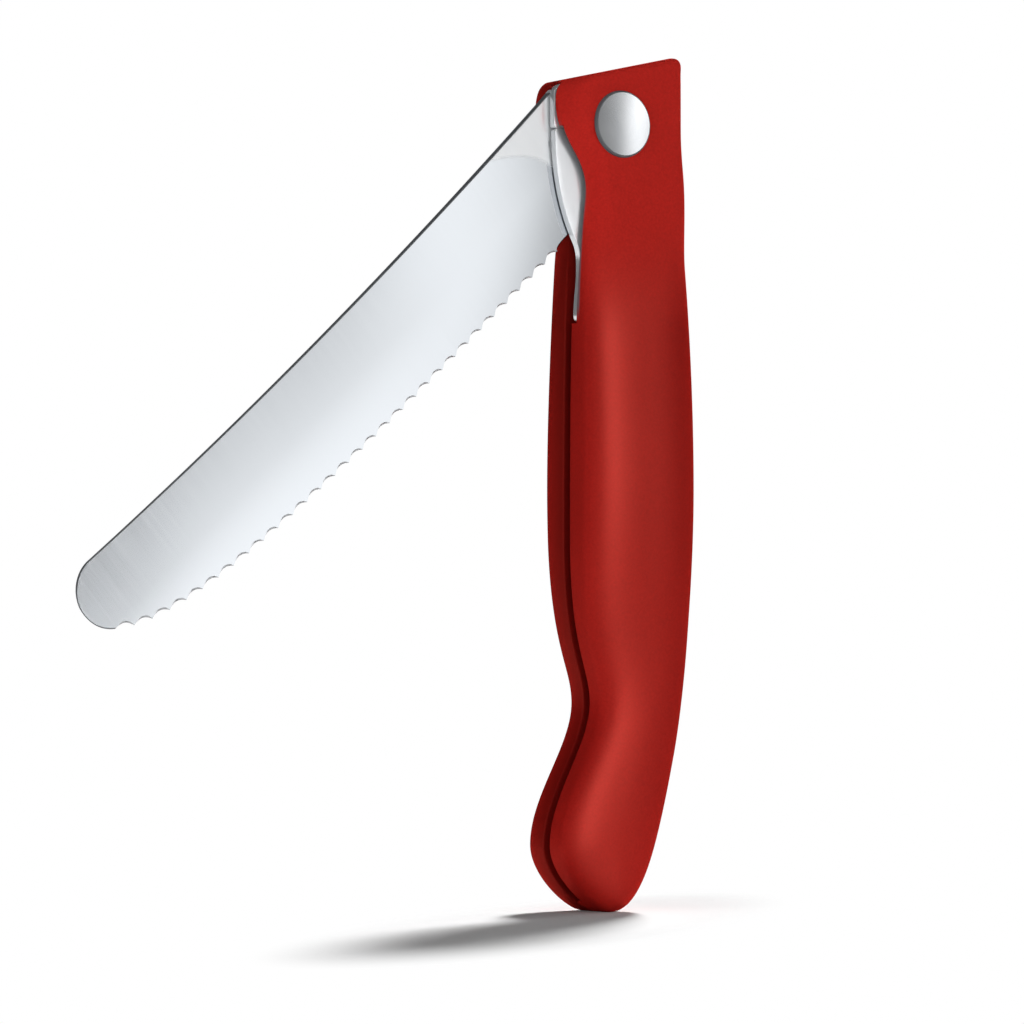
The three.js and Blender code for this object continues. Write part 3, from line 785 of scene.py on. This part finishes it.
def linerRooms(spec):
    spine, out = spec["spineEdge"] + spec["recessGap"], spec["outside"]
    low = -spec["drop"] - spec["endGap"]
    head = -handle["headSlot"]
    spineHigh, headHigh = (linerTop(spec, across) + spec["recessGap"] for across in (spine, head))
    recess = np.array([(out, low), (spine, low), (spine, spineHigh), (head, headHigh), (out, headHigh)])
    pocket = joined(
        [(out, -spec["rootDrop"] - spec["gap"])], leafInside(spec, spec["gap"], spec["gap"]),
        [(out, spec["tip"] + spec["gap"])],
    )
    roof = spec["front"] - spec["recessGap"]
    root = spec["rootDrop"] + spec["gap"]
    slope = (spec["travel"] - spec["recessGap"]) / root
    sloped = np.stack([pocket[:, 0], roof - slope * (root + pocket[:, 1]), pocket[:, 1]], 1)
    return [
        stacked([flatRing(recess, roof), flatRing(recess, spec["overrun"])]),
        stacked([sloped, flatRing(pocket, spec["overrun"] / 2)]),
    ]


# pivot, stop and fasteners
pins = {
    "frontStem": [(1.5, -3.7), (1.5, 4.4), (1.7, 4.6), (2.2, 4.6), (2.4, 4.4), (2.4, -5.9)],
    "rearStem": [(1.2, -3.6), (1.4, -3.4), (1.4, 5.9)],
    "barrel": 2.4, "bore": 0.1, "scaleBore": 12.0, "plateBore": 4.0,
    "head": 5.25, "face": 4.9, "seat": 5.9, "top": 6.5, "dish": 0.15, "centre": 0.2, "flat": 0.996,
    "stop": (6.917, 2.0), "stopRadius": 1.25, "stopHalf": 4.5,
    "linerRivets": {"upper": (5.5, -12.0), "lower": (5.5, -24.5)},
    "shank": 0.9, "shankEase": 0.2, "sunkHead": 1.6, "sunkFace": -0.85, "shankEnd": -4.6,
    "dowels": {"upper": (12.65, -34.0), "middle": (12.65, -66.0), "butt": (3.9, -117.3)},
    "dowelRadius": 1.1, "dowelHalf": 3.6, "chamfer": 0.2,
    "rings": {  # inner and outer radius, from and to in depth
        "pivot_bush": (2.5, 3.0, -0.6, 0.6), "rear_washer": (2.5, 5.3, 0.625, 0.775),
        "front_washer": (2.5, 5.3, -0.775, -0.625),
    },
    "ringEase": 0.04,
}


def rod(radius, half, place, chamfer=0.0):
    profile = [(radius, chamfer - half), (radius, half - chamfer)]
    if chamfer:
        profile = [(radius - chamfer, -half), *profile, (radius - chamfer, half)]
    return turned(profile, place, 64)


def sunkProfile(spec, gap):
    face = spec["sunkFace"] + gap
    neck = face - spec["sunkHead"] + spec["shank"]
    end = spec["shankEnd"] - gap
    return [(spec["shank"] + gap, end), (spec["shank"] + gap, neck), (spec["sunkHead"] + gap, face)]


def rivetSeats(spec):
    return [turned(sunkProfile(spec, spec["bore"]), place, 48) for place in spec["linerRivets"].values()]


def dowelBores(spec, half):
    return [rod(spec["dowelRadius"] + spec["bore"], half, place) for place in spec["dowels"].values()]


def scaleCutters(spec, front):
    gap = spec["bore"]
    cutters = [
        rod(spec["barrel"] + gap, spec["scaleBore"], (0, 0)),
        rod(spec["stopRadius"] + gap, spec["stopHalf"] + gap, spec["stop"]),
    ]
    cutters += dowelBores(spec, spec["dowelHalf"] + gap)
    if front:
        cutters += linerRooms(liner) + rivetSeats(spec)
    return cutters


print("shapes ready")
makeScale("front_scale.skin", handle, -1, scaleCutters(pins, True))
makeScale("rear_scale.skin", handle, 1, scaleCutters(pins, False))
print("scales made")


# steel plates of the lock: the flat faces keep their rolled finish, the cut edges are polished
def brushed(mesh):
    for face in mesh.polygons:
        face.material_index = int(abs(face.normal.y) > 0.98)
    return mesh


def makeLiner(spec):
    gap, deep = pins["bore"], pins["plateBore"]
    bores = [rod(pins["barrel"] + gap, deep, (0, 0)), rod(pins["stopRadius"] + gap, deep, pins["stop"])]
    hole = turned([(spec["detentHole"], spec["ballSeat"]), (spec["detentHole"], deep)], spec["detent"], 48)
    finishes = [steel["linerSteel"], steel["brushedFace"]]
    for name, outline, cutters, body in (
        ("liner_plate", linerLoop(spec), bores + rivetSeats(pins), "handle"),
        ("lock_leaf", leafLoop(spec), [hole], "lock_leaf"),
    ):
        loop = eased(outline, spec["cornerEase"])
        mesh = meshOf(name, *plate(loop, spec["front"], spec["back"], spec["rounding"], spec["tip"]))
        addPiece(name + ".steel", brushed(carved(mesh, cutters)), finishes, body)
    turns, radius = np.radians(np.linspace(-84, 84, 22)), spec["ball"]
    profile = [(radius * math.cos(a), spec["ballDepth"] + radius * math.sin(a)) for a in turns]
    ball = turned(profile, spec["detent"], 32)
    addPiece("detent_ball.steel", meshOf("ball", *ball), [steel["pinSteel"]], "lock_leaf")


def rivetHead(spec, side):
    turns = np.radians(np.linspace(0, 90, 11))
    wide, high = spec["head"] - spec["face"], spec["top"] - spec["seat"]
    rim = [(spec["face"] + wide * math.cos(a), spec["seat"] + high * math.sin(a)) for a in turns]
    radii = np.linspace(spec["face"], spec["centre"], 14)[1:]
    face = [(r, spec["top"] - spec["dish"] * (1 - (r / spec["face"]) ** 2)) for r in radii]
    return [(radius, side * depth) for radius, depth in rim + face]


def makePins(spec):
    for name, stem, side in (("front", spec["frontStem"], -1), ("rear", spec["rearStem"], 1)):
        rivet = meshOf(name, *turned(stem + rivetHead(spec, side), steps=128))
        # painted shade: all but the rivet's flat face takes the near-black edge steel
        for face in rivet.polygons:
            face.material_index = int(abs(face.normal.y) < spec["flat"])  # all but the face stays dark
        finishes = [turnedSteel, steel["shadedEdge"]]
        addPiece(f"pivot_rivet_{name}.steel", rivet, finishes, "handle", 8)
    for name, place in spec["linerRivets"].items():
        ease = spec["shankEase"]
        tip = [(spec["shank"] - ease, spec["shankEnd"]), (spec["shank"], spec["shankEnd"] + ease)]
        profile = tip + sunkProfile(spec, 0)[1:]
        rivet = meshOf(name, *turned(profile, place, 48))
        addPiece(f"liner_rivet_{name}.steel", rivet, [steel["pinSteel"]], "handle")
    stop = meshOf("stop", *rod(spec["stopRadius"], spec["stopHalf"], spec["stop"], spec["chamfer"]))
    addPiece("stop_pin.steel", stop, [steel["pinSteel"]], "handle")
    for name, place in spec["dowels"].items():
        dowel = meshOf(name, *rod(spec["dowelRadius"], spec["dowelHalf"], place, spec["chamfer"]))
        addPiece(f"scale_dowel_{name}.steel", dowel, [steel["pinSteel"]], "handle")
    for name, (inner, outer, low, high) in spec["rings"].items():
        ease = spec["ringEase"]
        profile = [
            (inner + ease, low), (outer - ease, low), (outer, low + ease), (outer, high - ease),
            (outer - ease, high), (inner + ease, high), (inner, high - ease), (inner, low + ease),
        ]
        ring = meshOf(name, *turned(profile, closed=True))
        addPiece(name + ".bronze", ring, [steel["bearingBronze"]], "handle")


makeLiner(liner)
makePins(pins)
print("lock and pins made")

# blade: drawn open, across and up from the pivot, then turned to where it rests
blade = {
    "half": 0.6, "spine": 10.3, "noseSpine": 9.95, "spinePull": (7.2, 61.9),
    "edge": -9.05, "ricasso": -8.4, "heelReach": 17.0, "firstTooth": 19.7, "belly": 45.0,
    "tipPull": (-5.8, 110.3), "bellyPull": (-8.7, 94.9), "nose": (4.35, 114.3), "noseRadius": 5.6,
    "noseEnd": 147.0, "noseTop": 73.5, "pitch": 3.2, "depth": 0.6, "toothSteps": 18, "heelSteps": 36,
    "plungeRun": 45.0, "taper": 0.0035, "thinning": 0.006,
    "shoulders": (3.4, -0.6), "tang": 5.6, "firstRow": 4.2, "fan": 104.0, "hole": 3.06, "through": 2.0,
    "detent": (4.283, 9.463), "detentHole": 0.5, "detentFloor": -0.45,
    "bevel": 0.34, "bevelLeast": 0.06, "bevelRise": (0, 0.15), "bevelFall": (0.4, 0.95), "toothHalf": 0.02,
    "ease": 0.2, "edgeDrop": 0.8, "spineEase": 0.09, "spineDrop": 0.9, "easeRun": (0.2, 2.0), "easeShare": 0.2,
    "columns": 34, "lastColumn": 0.9955, "roundSteps": 7,
}


def toothedEdge(spec):
    nose = arc(spec["nose"], spec["noseRadius"], spec["noseEnd"], spec["noseTop"], 48)
    edge = joined(
        [(spec["edge"], spec["firstTooth"]), (spec["edge"], spec["belly"])],
        bezier((spec["edge"], spec["belly"]), spec["bellyPull"], spec["tipPull"], nose[0], 400),
    )
    length = np.hypot(*np.diff(edge, axis=0).T).sum()
    count = round(length / spec["pitch"])
    tips = resampled(edge, np.linspace(0, 1, count + 1))
    points, shares = [], []
    for start, end in zip(tips, tips[1:]):
        chord = end - start
        inward = np.array([chord[1], -chord[0]]) / np.hypot(*chord)
        share = np.linspace(0, 1, spec["toothSteps"], endpoint=False)
        points.append(start + share[:, None] * chord + (spec["depth"] * 4 * share * (1 - share))[:, None] * inward)
        shares.append(share)
    steps = spec["heelSteps"]
    heel = joined(
        np.stack([np.full(steps, spec["ricasso"]), np.linspace(spec["firstRow"], spec["heelReach"], steps)], 1),
        quadratic(
            (spec["ricasso"], spec["heelReach"]), (spec["ricasso"], spec["firstTooth"]),
            (spec["edge"], spec["firstTooth"]), 14,
        )[:-1],
    )
    plain = np.full(len(heel), -1.0), np.full(len(nose), -1.0)
    return np.concatenate([heel, *points, nose]), np.concatenate([plain[0], *shares, plain[1]])


def bladeRows(spec):
    edge, shares = toothedEdge(spec)
    nose = arc(spec["nose"], spec["noseRadius"], 0, spec["noseTop"], 60)
    start = (spec["spine"], spec["shoulders"][0])
    spine = joined(quadratic(start, spec["spinePull"], (spec["noseSpine"], spec["nose"][1]), 400), nose)
    body = int(np.argmax(edge[:, 1] > spec["fan"]))
    beside = np.stack([np.interp(edge[:body, 1], spine[:, 1], spine[:, 0]), edge[:body, 1]], 1)
    tail = edge[body - 1:]
    run = np.concatenate([[0], np.cumsum(np.hypot(*np.diff(tail, axis=0).T))])
    last = joined([beside[-1]], spine[spine[:, 1] > beside[-1, 1]])
    opposite = np.concatenate([beside, resampled(last, run / run[-1])[1:]])
    return edge, opposite, shares


def groundHalf(spec, across, reach):
    start = plunge["start"] + plunge["bow"] * np.maximum(across - plunge["foot"], 0) ** 2
    taper = spec["taper"] * np.maximum(reach - start, 0)
    thinned = spec["thinning"] * (spec["spine"] - across) * smoothStep(reach, start, start + spec["plungeRun"])
    return spec["half"] - taper - thinned


def bladeGrid(spec):
    # each row runs from the edge to the spine, with the bevel first and a rounding last
    edge, spine, shares = bladeRows(spec)
    run = spine - edge
    length = np.maximum(np.hypot(*run.T), 1e-9)
    toothed = shares >= 0
    wide = smoothStep(shares, *spec["bevelRise"]) * (1 - smoothStep(shares, *spec["bevelFall"]))
    bevel = np.where(toothed, spec["bevelLeast"] + (spec["bevel"] - spec["bevelLeast"]) * wide, spec["ease"])
    bevel = np.minimum(bevel, spec["easeShare"] * length)
    spineEase = np.minimum(spec["spineEase"], spec["easeShare"] * length)
    inner = np.append(np.linspace(0, spec["lastColumn"], spec["columns"] - 1), 1)
    turns = np.radians(np.linspace(0, 90, spec["roundSteps"] + 1))[1:]
    along = np.concatenate([
        np.zeros((len(edge), 1)),
        bevel[:, None] + (length - bevel - spineEase)[:, None] * inner,
        (length - spineEase)[:, None] + spineEase[:, None] * np.sin(turns),
    ], 1)
    flat = edge[:, None] + run[:, None] * (along / length[:, None])[..., None]
    half = groundHalf(spec, flat[..., 0], flat[..., 1])
    grown = smoothStep(edge[:, 1], *(spec["firstRow"] + reach for reach in spec["easeRun"]))
    half[:, 0] = np.where(toothed, spec["toothHalf"], half[:, 0] - grown * bevel * spec["edgeDrop"])
    half[:, -len(turns):] -= (grown * spineEase)[:, None] * (1 - np.cos(turns)) * spec["spineDrop"]
    return flat, half, np.where(toothed, 2, edge[:, 1] > spec["fan"])


def tangLoop(spec):
    high, low = spec["shoulders"]
    start, end = (math.degrees(math.asin(height / spec["tang"])) for height in (low, high))
    curve = arc((0, 0), spec["tang"], 180 - start, 360 + end, 90)
    return joined([(spec["ricasso"], low)], curve, [(spec["spine"], high)])


def makeBlade(spec):
    flat, half, rims = bladeGrid(spec)
    count, columns = half.shape
    index = np.arange(count * columns).reshape(count, columns)
    other = index + count * columns
    vertices = [np.stack([flat[..., 0], side * half, flat[..., 1]], -1).reshape(-1, 3) for side in (-1, 1)]
    # painted shade: the spine rounding and the plain nose edge take the near-black edge steel, and the tooth
    # bevels take the dark grey tooth steel
    spineColumn = columns - spec["roundSteps"] - 3
    faces, shades = [], []
    for i in range(count - 1):
        for grid in (index, other):
            for j in range(columns - 1):
                faces.append((grid[i, j], grid[i + 1, j], grid[i + 1, j + 1], grid[i, j + 1]))
                shades.append(rims[i] if j == 0 else int(j > spineColumn))
        for j in (0, columns - 1):
            faces.append((index[i, j], index[i + 1, j], other[i + 1, j], other[i, j]))
            shades.append(1 if j else rims[i])
    around = tangLoop(spec)
    vertices += [flatRing(around, -spec["half"]), flatRing(around, spec["half"])]
    fore = 2 * count * columns + np.arange(len(around))
    sides = (index, fore), (other, fore + len(around))
    faces += [(*ring, *grid[0, ::-1]) for grid, ring in sides]
    fore, aft = (np.concatenate([[grid[0, 0]], ring, [grid[0, -1]]]) for grid, ring in sides)
    faces += [(fore[i], fore[i + 1], aft[i + 1], aft[i]) for i in range(len(fore) - 1)]
    shades += [0] * (len(faces) - len(shades))
    through = spec["through"]
    bores = [
        turned([(spec["hole"], -through), (spec["hole"], through)]),
        turned([(spec["detentHole"], -through), (spec["detentHole"], spec["detentFloor"])], spec["detent"], 32),
    ]
    cosine, sine = math.cos(bladeTurn), math.sin(bladeTurn)
    turn = np.array([[cosine, 0, sine], [0, 1, 0], [-sine, 0, cosine]])
    finishes = [steel[name] for name in ("bladeSteel", "shadedEdge", "toothSteel")]
    mesh = meshOf("blade", np.concatenate(vertices) @ turn.T, faces, shades)
    for finish in finishes:
        mesh.materials.append(finish)
    mesh = carved(mesh, [(points @ turn.T, sides) for points, sides in bores])
    addPiece("blade.steel", mesh, finishes, "blade", 16)


makeBlade(blade)
print("blade made")


# the spacer between the scales, open where the blade folds in
spacer = {
    "closedLean": 0.5, "edgeGap": 0.5, "ease": 0.12,
    "outside": -60.0, "above": 60.0, "below": -160.0, "through": 2.0,
}


def slotLoop(spec):
    turn = -math.radians(180 + spec["closedLean"])
    nose = arc(blade["nose"], blade["noseRadius"] + spec["edgeGap"], 90, blade["noseEnd"], 24)
    start = arc(blade["nose"], blade["noseRadius"], 90, blade["noseEnd"], 1)[-1]
    edge = bezier(start, blade["tipPull"], blade["bellyPull"], (blade["edge"], blade["belly"]), 60)
    points = np.concatenate([nose, edge])
    across = points[:, 0] * math.cos(turn) + points[:, 1] * math.sin(turn)
    height = -points[:, 0] * math.sin(turn) + points[:, 1] * math.cos(turn)
    across[len(nose):] += 2 * spec["edgeGap"]
    slotSide = blade["spine"] + spec["edgeGap"]
    return joined(
        [(spec["outside"], spec["above"]), (spec["outside"], spec["below"])], np.stack([across, height], 1),
        [(slotSide, -blade["firstTooth"]), (slotSide, spec["above"])],
    )


def makeSpacer(spec):
    loop = joined(*handleSides(handle))
    loop = loop[np.concatenate([[True], np.hypot(*np.diff(loop, axis=0).T) > 1e-3])]
    half = handle["slotHalf"]
    slot = slotLoop(spec)
    cutters = [stacked([flatRing(slot, -spec["through"]), flatRing(slot, spec["through"])])]
    cutters += dowelBores(pins, pins["plateBore"])
    mesh = carved(meshOf("spacer", *plate(loop, -half, half, spec["ease"], steps=3)), cutters)
    addPiece("back_spacer.core", mesh, [mouldedRed], "handle")


makeSpacer(spacer)
print("spacer made")

# camera, floor and light
camera = {
    "place": (-413.74, -570.99, -33.66), "azimuth": -34.5, "elevation": -2.4, "lens": 158.2, "sensor": 36,
    "nearest": 0.01, "farthest": 50,
}


def aim(azimuth, elevation, reach):
    turn, rise = math.radians(azimuth), math.radians(elevation)
    return reach * Vector((math.sin(turn) * math.cos(rise), -math.cos(turn) * math.cos(rise), math.sin(rise)))


def makeCamera(spec):
    back = aim(spec["azimuth"], spec["elevation"], 1)
    right = aim(spec["azimuth"] + 90, 0, 1)
    data = bpy.data.cameras.new("camera")
    data.lens = spec["lens"]
    data.sensor_width = spec["sensor"]
    data.clip_start, data.clip_end = spec["nearest"], spec["farthest"]
    eye = bpy.data.objects.new("camera", data)
    turn = Matrix((right, back.cross(right), back)).transposed().to_4x4()
    eye.matrix_world = Matrix.Translation(Vector(spec["place"]) * mm) @ turn
    bpy.context.scene.collection.objects.link(eye)
    bpy.context.scene.camera = eye


studio = {
    "worldDark": (0.06, 0.06, 0.063), "worldLight": (0.22, 0.22, 0.22), "worldFrom": (0.8, -0.55, 0.2),
    "worldFade": (-0.2, 1.0),
    "glow": {"azimuth": -35, "elevation": 11, "spread": (20, 9), "level": 0.75},
    "floor": (0.52, 0.52, 0.52), "floorSpeck": 30, "speckTone": 0.99, "floorHalf": (9.6, 18.0),
    "shadowPlace": (-34, -29), "shadowTurn": 40.5, "shadowSize": (118, 27), "shadowFade": (0.45, 1.0),
    "backdropAway": 1.6, "backdropHalf": 1.2, "backdropRise": 0.7,
    "card": {
        "depth": -600, "across": (190, 560), "rise": (-60, 260), "level": 1.5,
        "spread": 2.053, "base": (426.2, 150.5), "tilt": (4.3, -2.5),
        "heelLeast": 0.33, "heelLean": 1.6, "heelFade": (15, 31),
        "spineLoss": 0.42, "spineLean": 0.8, "spineSide": (-5, 7), "spineFade": (40, 62),
        "tipLoss": 0.56, "tipLean": 2.2, "tipFade": (96, 128),
        "sideLoss": 0.7, "sideFade": (-30, 52), "topLoss": 0.2, "topFade": (14, 20),
    },
    # name, azimuth, elevation, distance, size, power and the only shading that it lights
    "lamps": [
        ("frontLamp", 17, 6, 1.0, (0.22, 0.55), 4.4, "diffuse"),
        ("sheenLamp", 17, 6, 1.0, (0.22, 0.55), 16.0, "glossy"),
        ("softLamp", -25, 10, 1.1, (0.4, 0.4), 1.2, "diffuse"),
        ("fillLamp", -80, 12, 1.2, (0.4, 0.4), 4.5, "diffuse"),
        ("rimLamp", 105, 3, 1.0, (0.3, 0.3), 8.0, "diffuse"),
    ],
    "beam": {
        "azimuth": 130, "elevation": 40, "reach": 0.95, "angle": 12.5, "blend": 0.45, "radius": 0.08,
        "power": 89.0,
    },
}


def standing(name, points, finish):
    mesh = bpy.data.meshes.new(name)
    mesh.from_pydata([tuple(point) for point in points], [], [tuple(range(len(points)))])
    mesh.materials.append(finish.owner)
    thing = bpy.data.objects.new(name, mesh)
    bpy.context.scene.collection.objects.link(thing)
    return thing


def glowing(finish, colour):
    glow = finish.node("ShaderNodeEmission", None, {"Color": colour, "Strength": 1.0})
    finish.node("ShaderNodeOutputMaterial", None, {"Surface": glow})


def makeCard(spec):
    # a soft box whose light falls off towards its ends, as the blade mirrors it
    finish = newFinish("softCard")
    x0, z0 = spec["base"]
    moved = finish.away(finish.coords(), (x0 * mm, spec["depth"] * mm, z0 * mm))
    size = spec["spread"] * mm
    local = finish.framed(moved, (0, bladeTurn, 0), (size, size, size))
    across, reach = finish.part(local, 0) + spec["tilt"][0], finish.part(local, 2) + spec["tilt"][1]
    heel = finish.ease(reach + across * spec["heelLean"], *spec["heelFade"])
    spine = finish.ease(across, *spec["spineSide"])
    spine = spine * finish.ease(reach + across * spec["spineLean"], *spec["spineFade"])
    tip = finish.ease(reach + across * spec["tipLean"], *spec["tipFade"])
    side = finish.ease(finish.part(moved, 0) / size, *spec["sideFade"])
    top = finish.ease(across, *spec["topFade"])
    tone = spec["heelLeast"] + (1 - spec["heelLeast"]) * heel
    for name, mask in (("spineLoss", spine), ("tipLoss", tip), ("sideLoss", side), ("topLoss", top)):
        tone = tone * (1 - spec[name] * mask)
    colour = finish.blend(tone, (0, 0, 0), (spec["level"],) * 3)
    glowing(finish, colour)
    (left, right), (low, high) = spec["across"], spec["rise"]
    corners = ((left, low), (right, low), (right, high), (left, high))
    card = standing("softCard", [Vector((x, spec["depth"], z)) * mm for x, z in corners], finish)
    card.visible_camera = False


def makeWorld(spec):
    world = Finish(bpy.data.worlds.new("studio"))
    bpy.context.scene.world = world.owner
    coords = world.node("ShaderNodeTexCoord", out=0)
    glow = spec["glow"]
    centres = Vector(spec["worldFrom"]).normalized(), aim(glow["azimuth"], glow["elevation"], 1)
    wide, narrow = (
        world.node("ShaderNodeVectorMath", {"operation": "DOT_PRODUCT"}, {0: coords, 1: centre}, out=1)
        for centre in centres
    )
    sky = world.blend(world.ease(wide, *spec["worldFade"]), spec["worldDark"], spec["worldLight"])
    spread = [math.cos(math.radians(angle)) for angle in glow["spread"]]
    sky = world.mix(world.ease(narrow, *spread), sky, (glow["level"],) * 3 + (1,))
    soft = world.node("ShaderNodeBackground", None, {"Color": sky, "Strength": 1.0})
    world.node("ShaderNodeOutputWorld", None, {"Surface": soft})


def makeFloor(spec, foot, back, side):
    finish = newFinish("paleFloor")
    coords = finish.coords()
    tone = spec["floor"]
    shade = tuple(value * spec["speckTone"] for value in tone)
    speckled = finish.blend(finish.noise(coords, spec["floorSpeck"], 3), shade, tone)
    pale = finish.node("ShaderNodeBsdfDiffuse", None, {"Color": speckled})
    lit = finish.node("ShaderNodeEmission", None, {"Color": (1, 1, 1, 1), "Strength": 1.0})
    # white all round, and lit as it stands where the shadow falls
    place = Vector((*spec["shadowPlace"], 0)) * mm
    size = (*(value * mm for value in spec["shadowSize"]), 1e6)
    turn = (0, 0, math.radians(spec["shadowTurn"]))
    reach = finish.length(finish.framed(finish.away(coords, place), turn, size))
    seen, mirrored, through = (
        finish.node("ShaderNodeLightPath", out=f"Is {ray} Ray") for ray in ("Camera", "Glossy", "Transmission")
    )
    seen = seen.maths("MAXIMUM", seen.maths("MAXIMUM", seen, mirrored), through)
    white = finish.ease(reach, *spec["shadowFade"]) * seen
    mixed = finish.node("ShaderNodeMixShader", None, {0: white, 1: pale, 2: lit})
    finish.node("ShaderNodeOutputMaterial", None, {"Surface": mixed})
    long, wide = spec["floorHalf"]
    corners = ((1, -1), (-1, -1), (-1, 1), (1, 1))
    standing("floor", [foot + back * along * long + side * across * wide for along, across in corners], finish)


def makeBackdrop(spec, foot, back, side):
    finish = newFinish("whiteSweep")
    glowing(finish, (1, 1, 1, 1))
    rise = Vector((0, 0, spec["backdropRise"]))
    wide = side * spec["backdropHalf"]
    low = foot + back * spec["backdropAway"]
    standing("backdrop", [low - wide, low + wide, low + wide + rise, low - wide + rise], finish)


def hung(data, target, away):
    lamp = bpy.data.objects.new(data.name, data)
    lamp.matrix_world = Matrix.Translation(target + away) @ away.to_track_quat("Z", "Y").to_matrix().to_4x4()
    bpy.context.scene.collection.objects.link(lamp)
    return lamp


def makeLamps(spec, foot):
    for name, azimuth, elevation, reach, size, power, kind in spec["lamps"]:
        data = bpy.data.lights.new(name, "AREA")
        data.shape = "RECTANGLE"
        data.size, data.size_y = size
        data.energy = power
        lamp = hung(data, Vector(), aim(azimuth, elevation, reach))
        lamp.visible_glossy = kind == "glossy"
        lamp.visible_diffuse = kind == "diffuse"
    beam = spec["beam"]
    data = bpy.data.lights.new("floorBeam", "SPOT")
    data.spot_size = math.radians(beam["angle"])
    data.spot_blend = beam["blend"]
    data.shadow_soft_size = beam["radius"]
    data.energy = beam["power"]
    target = Vector((*spec["shadowPlace"], 0)) * mm + foot
    hung(data, target, aim(beam["azimuth"], beam["elevation"], beam["reach"]))


def makeStudio(spec):
    bpy.context.scene.view_settings.view_transform = "Standard"
    foot = Vector((0, 0, cadBox[0][2]))
    back, side = aim(camera["azimuth"] + 180, 0, 1), aim(camera["azimuth"] + 90, 0, 1)
    makeWorld(spec)
    makeFloor(spec, foot, back, side)
    makeBackdrop(spec, foot, back, side)
    makeCard(spec["card"])
    makeLamps(spec, foot)


makeCamera(camera)
makeStudio(studio)
print("studio made")
